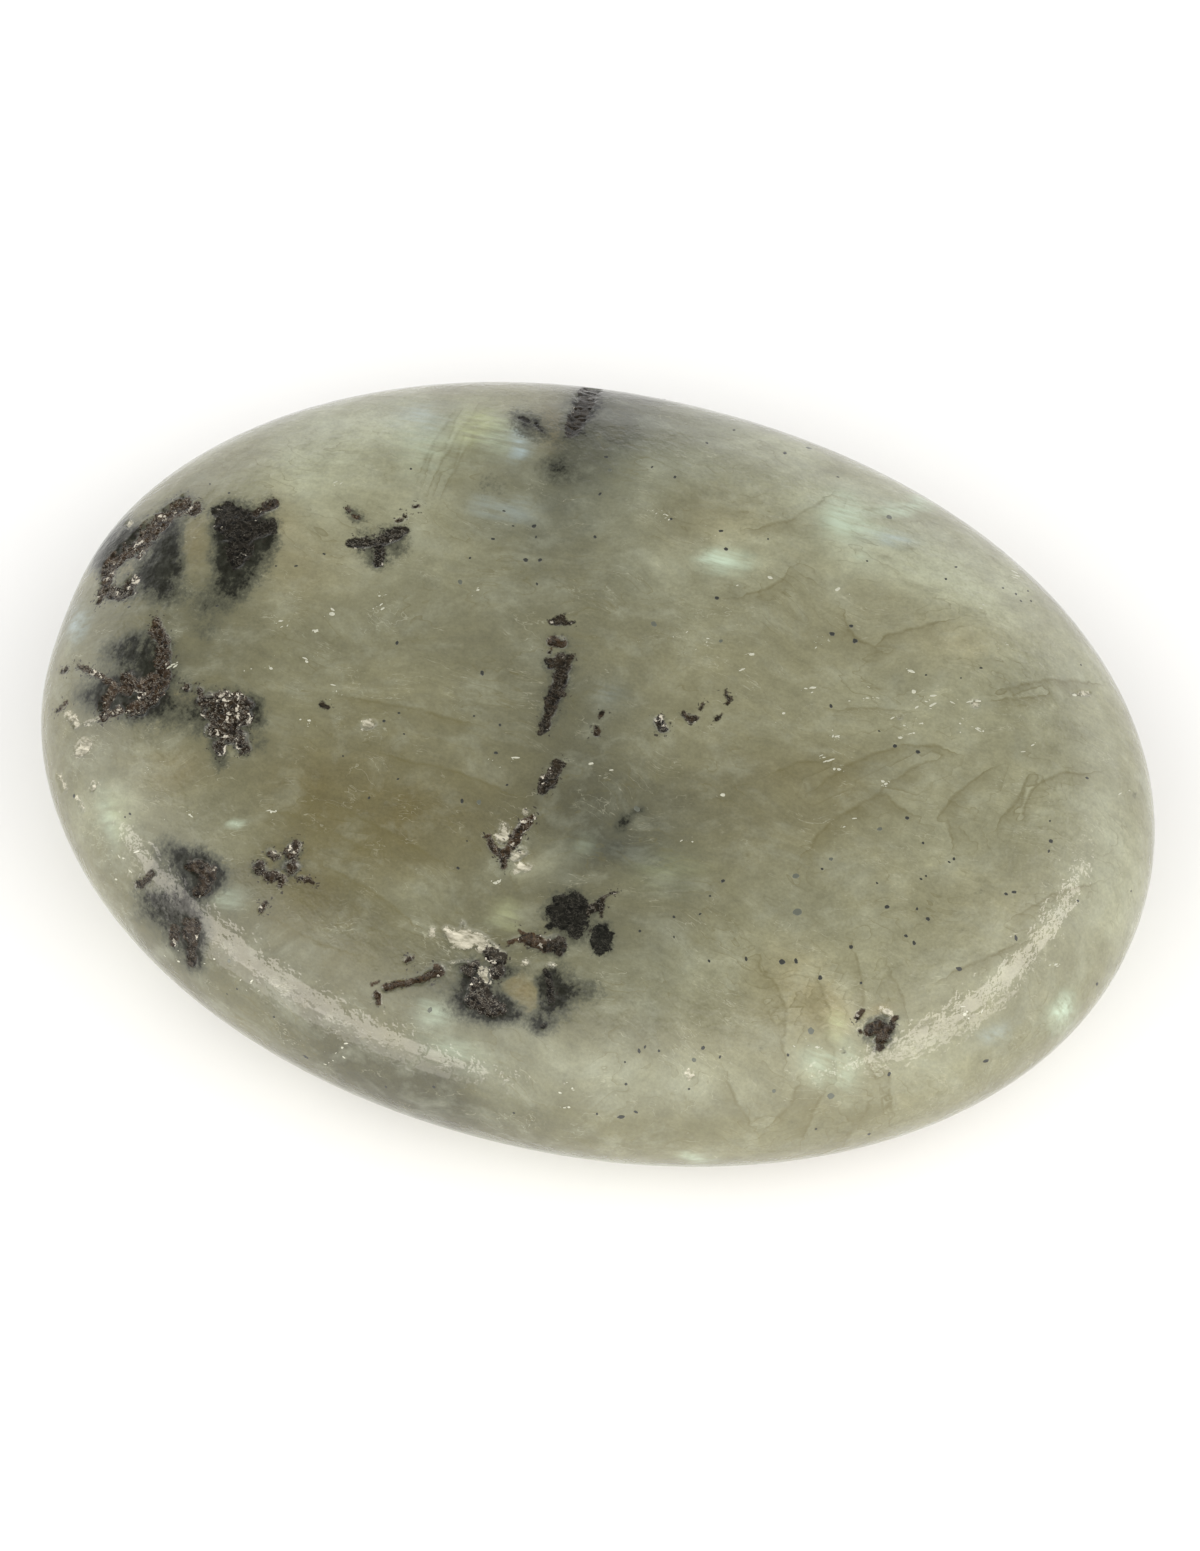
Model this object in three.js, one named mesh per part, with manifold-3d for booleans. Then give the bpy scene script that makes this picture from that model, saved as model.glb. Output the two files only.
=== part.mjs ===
// A labradorite pocket stone: one oval pebble, sawn from the rough, ground to a pillow and polished.
// Millimetres. +Z is up, +X runs along the stone, and the origin is under its middle, on the resting face.
// Dark grains of another mineral reach the polished face in clots and strings. They are brittle,
// so grinding plucked them, and each one is a shallow pit with broken walls.
import * as THREE from 'three';
import { mergeVertices } from 'three/addons/utils/BufferGeometryUtils.js';
import Module from 'manifold-3d';

const wasm = await Module();
wasm.setup();

// Driving dimensions
const LENGTH = 50;
const WIDTH = 37.2;
const CROWN_RISE = 6.3; // from the girdle, where the stone is widest, up to the middle of the crown
const BELLY_DROP = 6.3; // from the girdle down to the resting face
const RESTING_WIDTH = 14; // across the ground-flat face that the stone lies on

// Form
const PLAN_POWER = 2.045; // 2 is an ellipse, and a little more fills the oval's corners out
const SHOULDER_POWER = 4; // the higher it is, the flatter the faces and the tighter the shoulders
const TIP_FLAT = 0.25; // how much the -X tip is ground back
const TIP_FLAT_ANGLE = 0.2; // radians to each side of the tip
const SWELL = 0.09; // hand grinding leaves the crown this uneven
const SEGMENTS = 96;
const CROWN_STEPS = 15;
const BELLY_STEPS = 13;
const WELD = 1e-4; // corners closer than this are one corner

// Plucked grains
const PIT_DEPTH = 0.38;
const GRAIN_SPACING = 0.75; // of the sum of two neighbours' radii
const GRAIN_DRIFT = 0.4; // how far a grain may lie off its course, from side to side
const GRAIN_SEED = 19;

const HALF_LENGTH = LENGTH / 2;
const HALF_WIDTH = WIDTH / 2;

// The belly would run on past the resting face to this depth, had it not been ground flat there.
const restingRing = RESTING_WIDTH / WIDTH;
const BELLY_FULL_DROP = BELLY_DROP / Math.sqrt(1 - restingRing ** SHOULDER_POWER);

// Half-axes of the oval ring that has been drawn in by a share of the half-width: 0 is the girdle, 1 the middle.
// Near the girdle the ring keeps its distance all round, and it closes to a point in the middle.
function ringAxes(inset) {
  return {
    along: HALF_LENGTH - HALF_WIDTH * inset - (HALF_LENGTH - HALF_WIDTH) * inset ** 3,
    across: HALF_WIDTH * (1 - inset),
  };
}

function faceHeight(inset, rise) {
  return rise * Math.sqrt(1 - (1 - inset) ** SHOULDER_POWER);
}

function crownSwell(x, y) {
  return SWELL * Math.sin(0.19 * x + 0.8) * Math.cos(0.23 * y - 0.5) * (1 - (x / HALF_LENGTH) ** 2);
}

// The section is turned as a round blank of radius 1 first, from the middle of the belly up to the crown's middle.
function sectionPoints() {
  const points = [new THREE.Vector2(0, -BELLY_DROP)];
  const flatAngle = Math.asin(BELLY_DROP / BELLY_FULL_DROP);
  for (let step = BELLY_STEPS; step >= 1; step -= 1) {
    const angle = (flatAngle * step) / BELLY_STEPS;
    const radius = Math.cos(angle) ** (2 / SHOULDER_POWER);
    points.push(new THREE.Vector2(radius, -BELLY_FULL_DROP * Math.sin(angle)));
  }
  for (let step = 0; step < CROWN_STEPS; step += 1) {
    const angle = (Math.PI / 2) * (step / CROWN_STEPS);
    const radius = Math.cos(angle) ** (2 / SHOULDER_POWER);
    points.push(new THREE.Vector2(radius, CROWN_RISE * Math.sin(angle)));
  }
  points.push(new THREE.Vector2(0, CROWN_RISE));
  return points;
}

// Draws a point of the round blank out to the oval.
function ovalPoint(point) {
  const blankRadius = Math.hypot(point.x, point.y);
  const angle = Math.atan2(point.y, point.x);
  const { along, across } = ringAxes(1 - Math.min(1, blankRadius));
  const ground = 1 - (TIP_FLAT / HALF_LENGTH) * Math.exp(-(((Math.PI - Math.abs(angle)) / TIP_FLAT_ANGLE) ** 2));
  const cos = Math.cos(angle);
  const sin = Math.sin(angle);
  const x = along * Math.sign(cos) * Math.abs(cos) ** (2 / PLAN_POWER) * ground;
  const y = across * Math.sign(sin) * Math.abs(sin) ** (2 / PLAN_POWER);
  const crownShare = Math.max(0, point.z / CROWN_RISE);
  return new THREE.Vector3(x, y, point.z + crownSwell(x, y) * crownShare);
}

// Joins the corners that lie together, which the normals and texture places would keep apart.
function weldedGeometry(geometry) {
  const bare = geometry.clone();
  bare.deleteAttribute('normal');
  bare.deleteAttribute('uv');
  return mergeVertices(bare, WELD);
}

function solidFrom(geometry) {
  const merged = weldedGeometry(geometry);
  const corners = merged.index.array;
  const kept = [];
  for (let i = 0; i < corners.length; i += 3) {
    const [a, b, c] = corners.subarray(i, i + 3);
    if (a !== b && b !== c && c !== a) kept.push(a, b, c);
  }
  return new wasm.Manifold(
    new wasm.Mesh({
      numProp: 3,
      vertProperties: Float32Array.from(merged.attributes.position.array),
      triVerts: Uint32Array.from(kept),
    }),
  );
}

function geometryFrom(solid) {
  const mesh = solid.getMesh();
  const geometry = new THREE.BufferGeometry();
  geometry.setAttribute('position', new THREE.BufferAttribute(mesh.vertProperties, 3));
  geometry.setIndex(new THREE.BufferAttribute(mesh.triVerts, 1));
  return geometry;
}

function pebble() {
  const geometry = new THREE.LatheGeometry(sectionPoints(), SEGMENTS);
  geometry.rotateX(Math.PI / 2);
  const position = geometry.attributes.position;
  const point = new THREE.Vector3();
  for (let i = 0; i < position.count; i += 1) {
    const moved = ovalPoint(point.fromBufferAttribute(position, i));
    position.setXYZ(i, moved.x, moved.y, moved.z);
  }
  return solidFrom(geometry);
}

// Height over the girdle of the crown, or of the belly, at a place inside the oval.
function heightAt(x, y, side) {
  let low = 0;
  let high = 1;
  for (let i = 0; i < 40; i += 1) {
    const middle = (low + high) / 2;
    const { along, across } = ringAxes(middle);
    const out = (Math.abs(x) / along) ** PLAN_POWER + (Math.abs(y) / across) ** PLAN_POWER;
    if (out < 1) low = middle;
    else high = middle;
  }
  if (side < 0) return -Math.min(BELLY_DROP, faceHeight(low, BELLY_FULL_DROP));
  return faceHeight(low, CROWN_RISE) + crownSwell(x, y);
}

function outwardAt(x, y, side) {
  const reach = 0.05;
  const slopeX = (heightAt(x + reach, y, side) - heightAt(x - reach, y, side)) / (2 * reach);
  const slopeY = (heightAt(x, y + reach, side) - heightAt(x, y - reach, side)) / (2 * reach);
  return new THREE.Vector3(-slopeX, -slopeY, 1).multiplyScalar(side).normalize();
}

// A small seeded source of chance, so that every build breaks the grains alike.
function chanceFrom(seed) {
  let state = seed;
  return () => {
    state = (Math.imul(state, 1664525) + 1013904223) >>> 0;
    return state / 2 ** 32;
  };
}

// One plucked grain: a blocky crystal with uneven corners, sunk so that it bites a shallow pit.
function grain(x, y, side, radius, chance) {
  const block = weldedGeometry(new THREE.IcosahedronGeometry(radius, 0));
  const position = block.attributes.position;
  for (let i = 0; i < position.count; i += 1) {
    const stretch = 0.82 + 0.36 * chance();
    position.setXYZ(i, position.getX(i) * stretch, position.getY(i) * stretch, position.getZ(i) * stretch);
  }
  block.rotateX(chance() * Math.PI);
  block.rotateY(chance() * Math.PI);
  const depth = PIT_DEPTH * (0.8 + 0.5 * chance());
  const outward = outwardAt(x, y, side);
  const centre = new THREE.Vector3(x, y, heightAt(x, y, side)).addScaledVector(outward, radius - depth);
  block.translate(centre.x, centre.y, centre.z);
  return solidFrom(block);
}

// Grains along a course: each stop is [x, y, grain radius], and the grains between two stops nearly touch.
function grainsAlong(course, side, chance) {
  const grains = [];
  course.forEach(([x, y, radius], stop) => {
    grains.push(grain(x, y, side, radius, chance));
    if (stop === course.length - 1) return;
    const [nextX, nextY, nextRadius] = course[stop + 1];
    const between = Math.floor(Math.hypot(nextX - x, nextY - y) / (GRAIN_SPACING * (radius + nextRadius)));
    for (let i = 1; i <= between; i += 1) {
      const share = i / (between + 1);
      const drift = GRAIN_DRIFT * (chance() - 0.5);
      grains.push(
        grain(
          x + (nextX - x) * share + drift,
          y + (nextY - y) * share - drift,
          side,
          radius + (nextRadius - radius) * share,
          chance,
        ),
      );
    }
  });
  return grains;
}

// Courses of plucked grains on the crown, as [x, y, grain radius], placed as in the photograph.
const CROWN_INCLUSIONS = {
  westBand: [[-20.4, 5.3, 0.7], [-21.6, 3.7, 0.8], [-22.3, 1.9, 0.8], [-22.5, -0.3, 0.6]],
  westClot: [[-18.3, 4.6, 0.8], [-16.9, 5.2, 0.7], [-17.4, 3.6, 1.0]],
  smallHook: [[-12.3, 4.4, 0.5], [-10.7, 5.4, 0.5], [-11.2, 4.2, 0.6]],
  tipClot: [[-19.4, -2.2, 0.7], [-19.4, -4.5, 1.0], [-20.8, -4.7, 0.9], [-22.2, -4.0, 0.5]],
  sparklingClot: [[-15.6, -4.9, 0.8], [-14.6, -4.6, 0.8], [-14.9, -6.2, 0.9], [-14.0, -6.9, 0.6]],
  middleStreak: [[-1.9, 1.1, 0.6], [-1.8, 0.0, 0.6], [-1.6, -2.2, 0.5]],
  lowerStreak: [[-0.6, -4.1, 0.5], [-0.8, -5.0, 0.5]],
  paleChips: [[-0.6, -6.9, 0.7], [-1.2, -8.0, 0.7], [-0.5, -8.6, 0.7]],
  shoulderClot: [[-14.1, -12.4, 0.9], [-13.8, -13.2, 0.8], [-14.6, -14.1, 0.7], [-13.6, -15.1, 0.5]],
  crossedGrains: [[-10.3, -10.7, 0.6], [-11.4, -11.8, 0.6], [-10.2, -11.9, 0.7]],
  thinString: [[-4.5, -15.3, 0.45], [-3.1, -14.7, 0.45]],
  blackClot: [[2.0, -10.4, 1.0], [2.9, -10.1, 0.8]],
  blackGrain: [[3.8, -11.3, 0.8]],
  brownGrain: [[0.6, -12.2, 0.45], [1.6, -12.0, 0.7]],
  paleBreak: [[-2.3, -12.7, 0.7], [-1.3, -12.9, 0.7]],
  frontClot: [[-0.4, -13.3, 0.7], [-0.7, -14.3, 0.9], [0.3, -15.3, 0.6]],
  eastGrain: [[15.2, -10.9, 0.4], [16.1, -11.2, 0.8]],
  northStreak: [[-5.4, 16.0, 0.6], [-5.1, 13.8, 0.5]],
};

// The belly isn't seen. It gets a few courses of the same kind.
const BELLY_INCLUSIONS = {
  westClot: [[-18.0, -2.0, 0.9], [-17.2, -3.6, 0.8], [-18.4, -4.6, 0.6]],
  backStreak: [[-5.6, 15.8, 0.6], [-5.0, 13.2, 0.6]],
  eastClot: [[13.2, 6.4, 0.8], [14.6, 5.6, 0.9]],
  frontString: [[3.4, -13.6, 0.5], [5.8, -12.9, 0.6]],
};

const chance = chanceFrom(GRAIN_SEED);
const plucked = [
  ...Object.values(CROWN_INCLUSIONS).flatMap((course) => grainsAlong(course, 1, chance)),
  ...Object.values(BELLY_INCLUSIONS).flatMap((course) => grainsAlong(course, -1, chance)),
];
const stoneGeometry = geometryFrom(plucked.reduce((body, piece) => body.subtract(piece), pebble()));

// The resting face goes to height 0, with the stone's middle over the origin.
stoneGeometry.computeBoundingBox();
const { min, max } = stoneGeometry.boundingBox;
stoneGeometry.translate(-(min.x + max.x) / 2, -(min.y + max.y) / 2, -min.z);
stoneGeometry.computeVertexNormals();

const stone = new THREE.Mesh(
  stoneGeometry,
  new THREE.MeshStandardMaterial({ color: 0x8f8d76, roughness: 0.22, metalness: 0 }),
);
stone.name = 'stone';

const pocketStone = new THREE.Group();
pocketStone.add(stone);

export default pocketStone;
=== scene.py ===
# %% [markdown]
# # A labradorite pocket stone
# A pocket stone is sawn from rough feldspar, ground to a flat oval pillow and polished all over.
# Its looks are nearly all inside it: clouds of olive and grey, fine curved veins, black grains of
# another mineral that reach the surface, and a few pale flashes. So this lesson makes one even mesh,
# marks on it where each of those things lies, and lets one material draw them.
#
# ## Start from the imported model
# The frame holds the CAD stone at its real size. Noise that returns a vector starts from the clock
# unless it is given a seed, so its seed is set here.

# %% Load the frame
import math
import random

import bpy
import numpy as np
from mathutils import Matrix, Quaternion, Vector, noise
from mathutils.bvhtree import BVHTree


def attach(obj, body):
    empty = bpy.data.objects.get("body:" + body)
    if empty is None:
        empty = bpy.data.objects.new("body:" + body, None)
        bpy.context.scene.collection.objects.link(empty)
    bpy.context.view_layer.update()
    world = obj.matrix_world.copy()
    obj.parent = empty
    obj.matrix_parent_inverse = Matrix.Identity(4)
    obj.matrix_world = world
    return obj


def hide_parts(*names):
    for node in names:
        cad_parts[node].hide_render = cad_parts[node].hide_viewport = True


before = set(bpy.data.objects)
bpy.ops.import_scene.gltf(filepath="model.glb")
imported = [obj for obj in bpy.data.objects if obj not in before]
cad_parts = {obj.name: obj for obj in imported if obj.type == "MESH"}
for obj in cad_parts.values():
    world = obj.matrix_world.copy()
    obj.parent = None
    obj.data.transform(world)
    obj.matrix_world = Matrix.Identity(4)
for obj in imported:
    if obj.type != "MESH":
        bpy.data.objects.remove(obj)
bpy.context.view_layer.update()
SEED = 11
noise.seed_set(SEED)

# %% [markdown]
# ## The form's sizes
# These are the sizes that the CAD stone is made from, in millimetres. The section is a pillow: two
# flat faces with rounded shoulders. The plan is an oval that is a little fuller than an ellipse. The
# height is drawn in by a small share, so that no broken crystal stands out of the CAD stone's box.

# %% Name the sizes
MM = 0.001
HALF_LENGTH = 25.0
HALF_WIDTH = 18.6
CROWN_RISE = 6.3
BELLY_DROP = 6.3
RESTING_SHARE = 14 / 37.2
SHOULDER_POWER = 4
BELLY_FULL_DROP = BELLY_DROP / math.sqrt(1 - RESTING_SHARE**SHOULDER_POWER)
PLAN_POWER = 2.045
TIP_FLAT = 0.25
TIP_FLAT_ANGLE = 0.2
SWELL = 0.09
GIRDLE_MIDDLE = np.array([-TIP_FLAT / 2, 0, BELLY_DROP])
HEIGHT_SHARE = 0.997


def ring_axes(inset):
    """Half-axes of the oval ring that is drawn in by a share of the half-width."""
    along = HALF_LENGTH - HALF_WIDTH * inset - (HALF_LENGTH - HALF_WIDTH) * inset**3
    return along, HALF_WIDTH * (1 - inset)


def crown_swell(x, y):
    """How uneven hand grinding has left the crown."""
    return SWELL * np.sin(0.19 * x + 0.8) * np.cos(0.23 * y - 0.5) * (1 - (x / HALF_LENGTH) ** 2)


print("length, width, thickness, mm:", 2 * HALF_LENGTH, 2 * HALF_WIDTH, CROWN_RISE + BELLY_DROP)

# %% [markdown]
# ## Camera first
# The marks on the stone are placed by where they are in the photograph, so the camera comes first.
# The stone is seen from 60 degrees above the floor and a little from the right. The outline's size
# gives how many pixels a millimetre takes, and the outline's middle gives where the camera points.

# %% Place the camera
VIEW_AZIMUTH = math.radians(16.9)
VIEW_ELEVATION = math.radians(60)
CAMERA_DISTANCE = 400.0
PIXELS_PER_MM = 22.67
PHOTO_SIZE = (1200, 1551)
GIRDLE_PIXEL = (595.4, 766.9)
SENSOR = 36
BACK = np.array([
    math.sin(VIEW_AZIMUTH) * math.cos(VIEW_ELEVATION),
    -math.cos(VIEW_AZIMUTH) * math.cos(VIEW_ELEVATION),
    math.sin(VIEW_ELEVATION),
])
RIGHT = np.array([math.cos(VIEW_AZIMUTH), math.sin(VIEW_AZIMUTH), 0])
UP = np.cross(BACK, RIGHT)
EYE = (
    GIRDLE_MIDDLE
    + BACK * CAMERA_DISTANCE
    + RIGHT * (PHOTO_SIZE[0] / 2 - GIRDLE_PIXEL[0]) / PIXELS_PER_MM
    - UP * (PHOTO_SIZE[1] / 2 - GIRDLE_PIXEL[1]) / PIXELS_PER_MM
)

bpy.ops.object.camera_add(location=EYE * MM)
camera = bpy.context.object
camera.rotation_mode = "QUATERNION"
camera.rotation_quaternion = Vector(-BACK).to_track_quat("-Z", "Y")
camera.data.sensor_width = SENSOR
camera.data.lens = SENSOR * CAMERA_DISTANCE * PIXELS_PER_MM / PHOTO_SIZE[1]
camera.data.clip_start = 0.01
bpy.context.scene.camera = camera
print("lens, mm:", round(camera.data.lens, 1))

# %% [markdown]
# ## From the stone to the photograph and back
# One function says which pixel a point of the stone falls on. The other gives the line of sight
# through a pixel, so that a mark read from the photograph can be found on the stone.

# %% Turn places into pixels and back


def photo_place(points):
    """Where points of the stone, in mm, lie in the photograph, in pixels."""
    ray = points - EYE
    scale = CAMERA_DISTANCE * PIXELS_PER_MM / -(ray @ BACK)
    across = PHOTO_SIZE[0] / 2 + ray @ RIGHT * scale
    down = PHOTO_SIZE[1] / 2 - ray @ UP * scale
    return np.stack([across, down], 1)


def photo_ray(across, down):
    """The direction from the camera through a pixel of the photograph."""
    right = (across - PHOTO_SIZE[0] / 2) / PIXELS_PER_MM
    up = (PHOTO_SIZE[1] / 2 - down) / PIXELS_PER_MM
    return RIGHT * right + UP * up - BACK * CAMERA_DISTANCE


print("the girdle's middle, pixels:", photo_place(GIRDLE_MIDDLE[None])[0].round(1))

# %% [markdown]
# ## The blank
# A lapidary starts from a sawn slab and grinds it to rings that get smaller towards each face. A
# squashed sphere would be quicker, but it has no flat face to rest on and no shoulder. So one oval is
# extruded and resized ring by ring, from the resting face up to the crown.

# %% Extrude the blank ring by ring
RING_STEPS = 14
PLAN_SIDES = 128
TOP_SHARE = 0.02
bpy.ops.object.select_all(action="DESELECT")


def section_rings():
    """The section's rings from the resting face up, as (share of the half-width, height)."""
    flat_angle = math.asin(BELLY_DROP / BELLY_FULL_DROP)
    rings = []
    for step in range(RING_STEPS, 0, -1):
        angle = flat_angle * step / RING_STEPS
        rings.append((math.cos(angle) ** (2 / SHOULDER_POWER), -BELLY_FULL_DROP * math.sin(angle)))
    for step in range(RING_STEPS):
        angle = math.pi / 2 * step / RING_STEPS
        rings.append((math.cos(angle) ** (2 / SHOULDER_POWER), CROWN_RISE * math.sin(angle)))
    rings.append((TOP_SHARE, CROWN_RISE))
    return rings


rings = section_rings()
low_along, low_across = ring_axes(1 - rings[0][0])
place = (GIRDLE_MIDDLE + [0, 0, rings[0][1]]) * MM
bpy.ops.mesh.primitive_circle_add(
    vertices=PLAN_SIDES, radius=low_across * MM, fill_type="NGON", location=place
)
stone = bpy.context.object
stone.name = "polished_stone"
bpy.ops.object.mode_set(mode="EDIT")
bpy.ops.transform.resize(value=(low_along / low_across, 1, 1), center_override=place)
last_along, last_across, last_height = low_along, low_across, rings[0][1]
for share, height in rings[1:]:
    along, across = ring_axes(1 - share)
    rise = (0, 0, (height - last_height) * MM)
    bpy.ops.mesh.extrude_region_move(TRANSFORM_OT_translate={"value": rise})
    grow = (along / last_along, across / last_across, 1)
    bpy.ops.transform.resize(value=grow, center_override=place)
    last_along, last_across, last_height = along, across, height
bpy.ops.mesh.select_all(action="SELECT")
bpy.ops.mesh.normals_make_consistent(inside=False)
bpy.ops.object.mode_set(mode="OBJECT")
bpy.ops.object.transform_apply(location=True, rotation=True, scale=True)
print("blank:", len(stone.data.polygons), "faces, mm:", [round(v * 1000, 2) for v in stone.dimensions])

# %% [markdown]
# ## Small even faces
# The rings leave long thin faces, and marks kept on their corners would be coarse one way and fine
# the other. A voxel remesh lays the same form out in small even faces, which also suits fine relief.

# %% Give it small even faces
FACE_SIZE = 0.32
even = stone.modifiers.new("even faces", "REMESH")
even.mode = "VOXEL"
even.voxel_size = FACE_SIZE * MM
bpy.ops.object.modifier_apply(modifier=even.name)
print("remeshed:", len(stone.data.vertices), "vertices")

# %% [markdown]
# ## Grinding to the exact form
# A remesh rounds and ripples a surface a little, and a polished stone shows every ripple in its
# reflections. So each vertex is moved along its line from the stone's middle until it lies exactly
# on the form, as a sculptor's smooth brush would, but with the right answer known.

# %% Grind the blank
HALVINGS = 30


def points_of(piece):
    """A piece's vertices in mm, as an array."""
    flat = np.empty(len(piece.data.vertices) * 3)
    piece.data.vertices.foreach_get("co", flat)
    return flat.reshape(-1, 3) / MM


def set_points(piece, points):
    """Puts a piece's vertices at places in mm."""
    piece.data.vertices.foreach_set("co", (points * MM).ravel())
    piece.data.update()


def size_of(points):
    """Length, width and height of the box round the points, in mm."""
    return [round(float(v), 2) for v in points.max(0) - points.min(0)]


def is_inside(points):
    """True where a point, in mm from the girdle's middle, is inside the ground form."""
    x, y, z = points.T
    rise = np.where(z > 0, CROWN_RISE, BELLY_FULL_DROP)
    height = np.where(z > 0, z / (1 + crown_swell(x, y) / CROWN_RISE), z)
    level = np.clip(np.abs(height) / rise, 0, 1)
    along, across = ring_axes(1 - (1 - level**2) ** (1 / SHOULDER_POWER))
    along, across = np.maximum(along, 1e-6), np.maximum(across, 1e-6)
    turn = np.arctan2((np.abs(y) / across) ** (PLAN_POWER / 2), (np.abs(x) / along) ** (PLAN_POWER / 2))
    turn = np.where(x < 0, turn, math.pi)
    along = along * (1 - TIP_FLAT / HALF_LENGTH * np.exp(-((turn / TIP_FLAT_ANGLE) ** 2)))
    plan = (np.abs(x) / along) ** PLAN_POWER + (np.abs(y) / across) ** PLAN_POWER
    return (plan < 1) & (np.abs(height) < rise) & (z > -BELLY_DROP)


def ground(points):
    """The points moved along their lines from the girdle's middle onto the form, by halving."""
    rays = points - GIRDLE_MIDDLE
    low, high = np.full(len(rays), 0.5), np.full(len(rays), 1.5)
    for _ in range(HALVINGS):
        middle = (low + high) / 2
        inside = is_inside(rays * middle[:, None])
        low, high = np.where(inside, middle, low), np.where(inside, high, middle)
    return (GIRDLE_MIDDLE + rays * low[:, None]) * [1, 1, HEIGHT_SHARE]


set_points(stone, ground(points_of(stone)))
print("ground, mm:", size_of(points_of(stone)))

# %% [markdown]
# ## Where the dark grains lie
# The black and brown grains are amphibole and iron oxide that grew with the feldspar. Each clot is
# drawn as a few strokes of a round brush: a stop is (pixels across, pixels down, radius in pixels)
# in the photograph. `brown` is how rusty it is, and `glint` how many broken faces catch the light.

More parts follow.
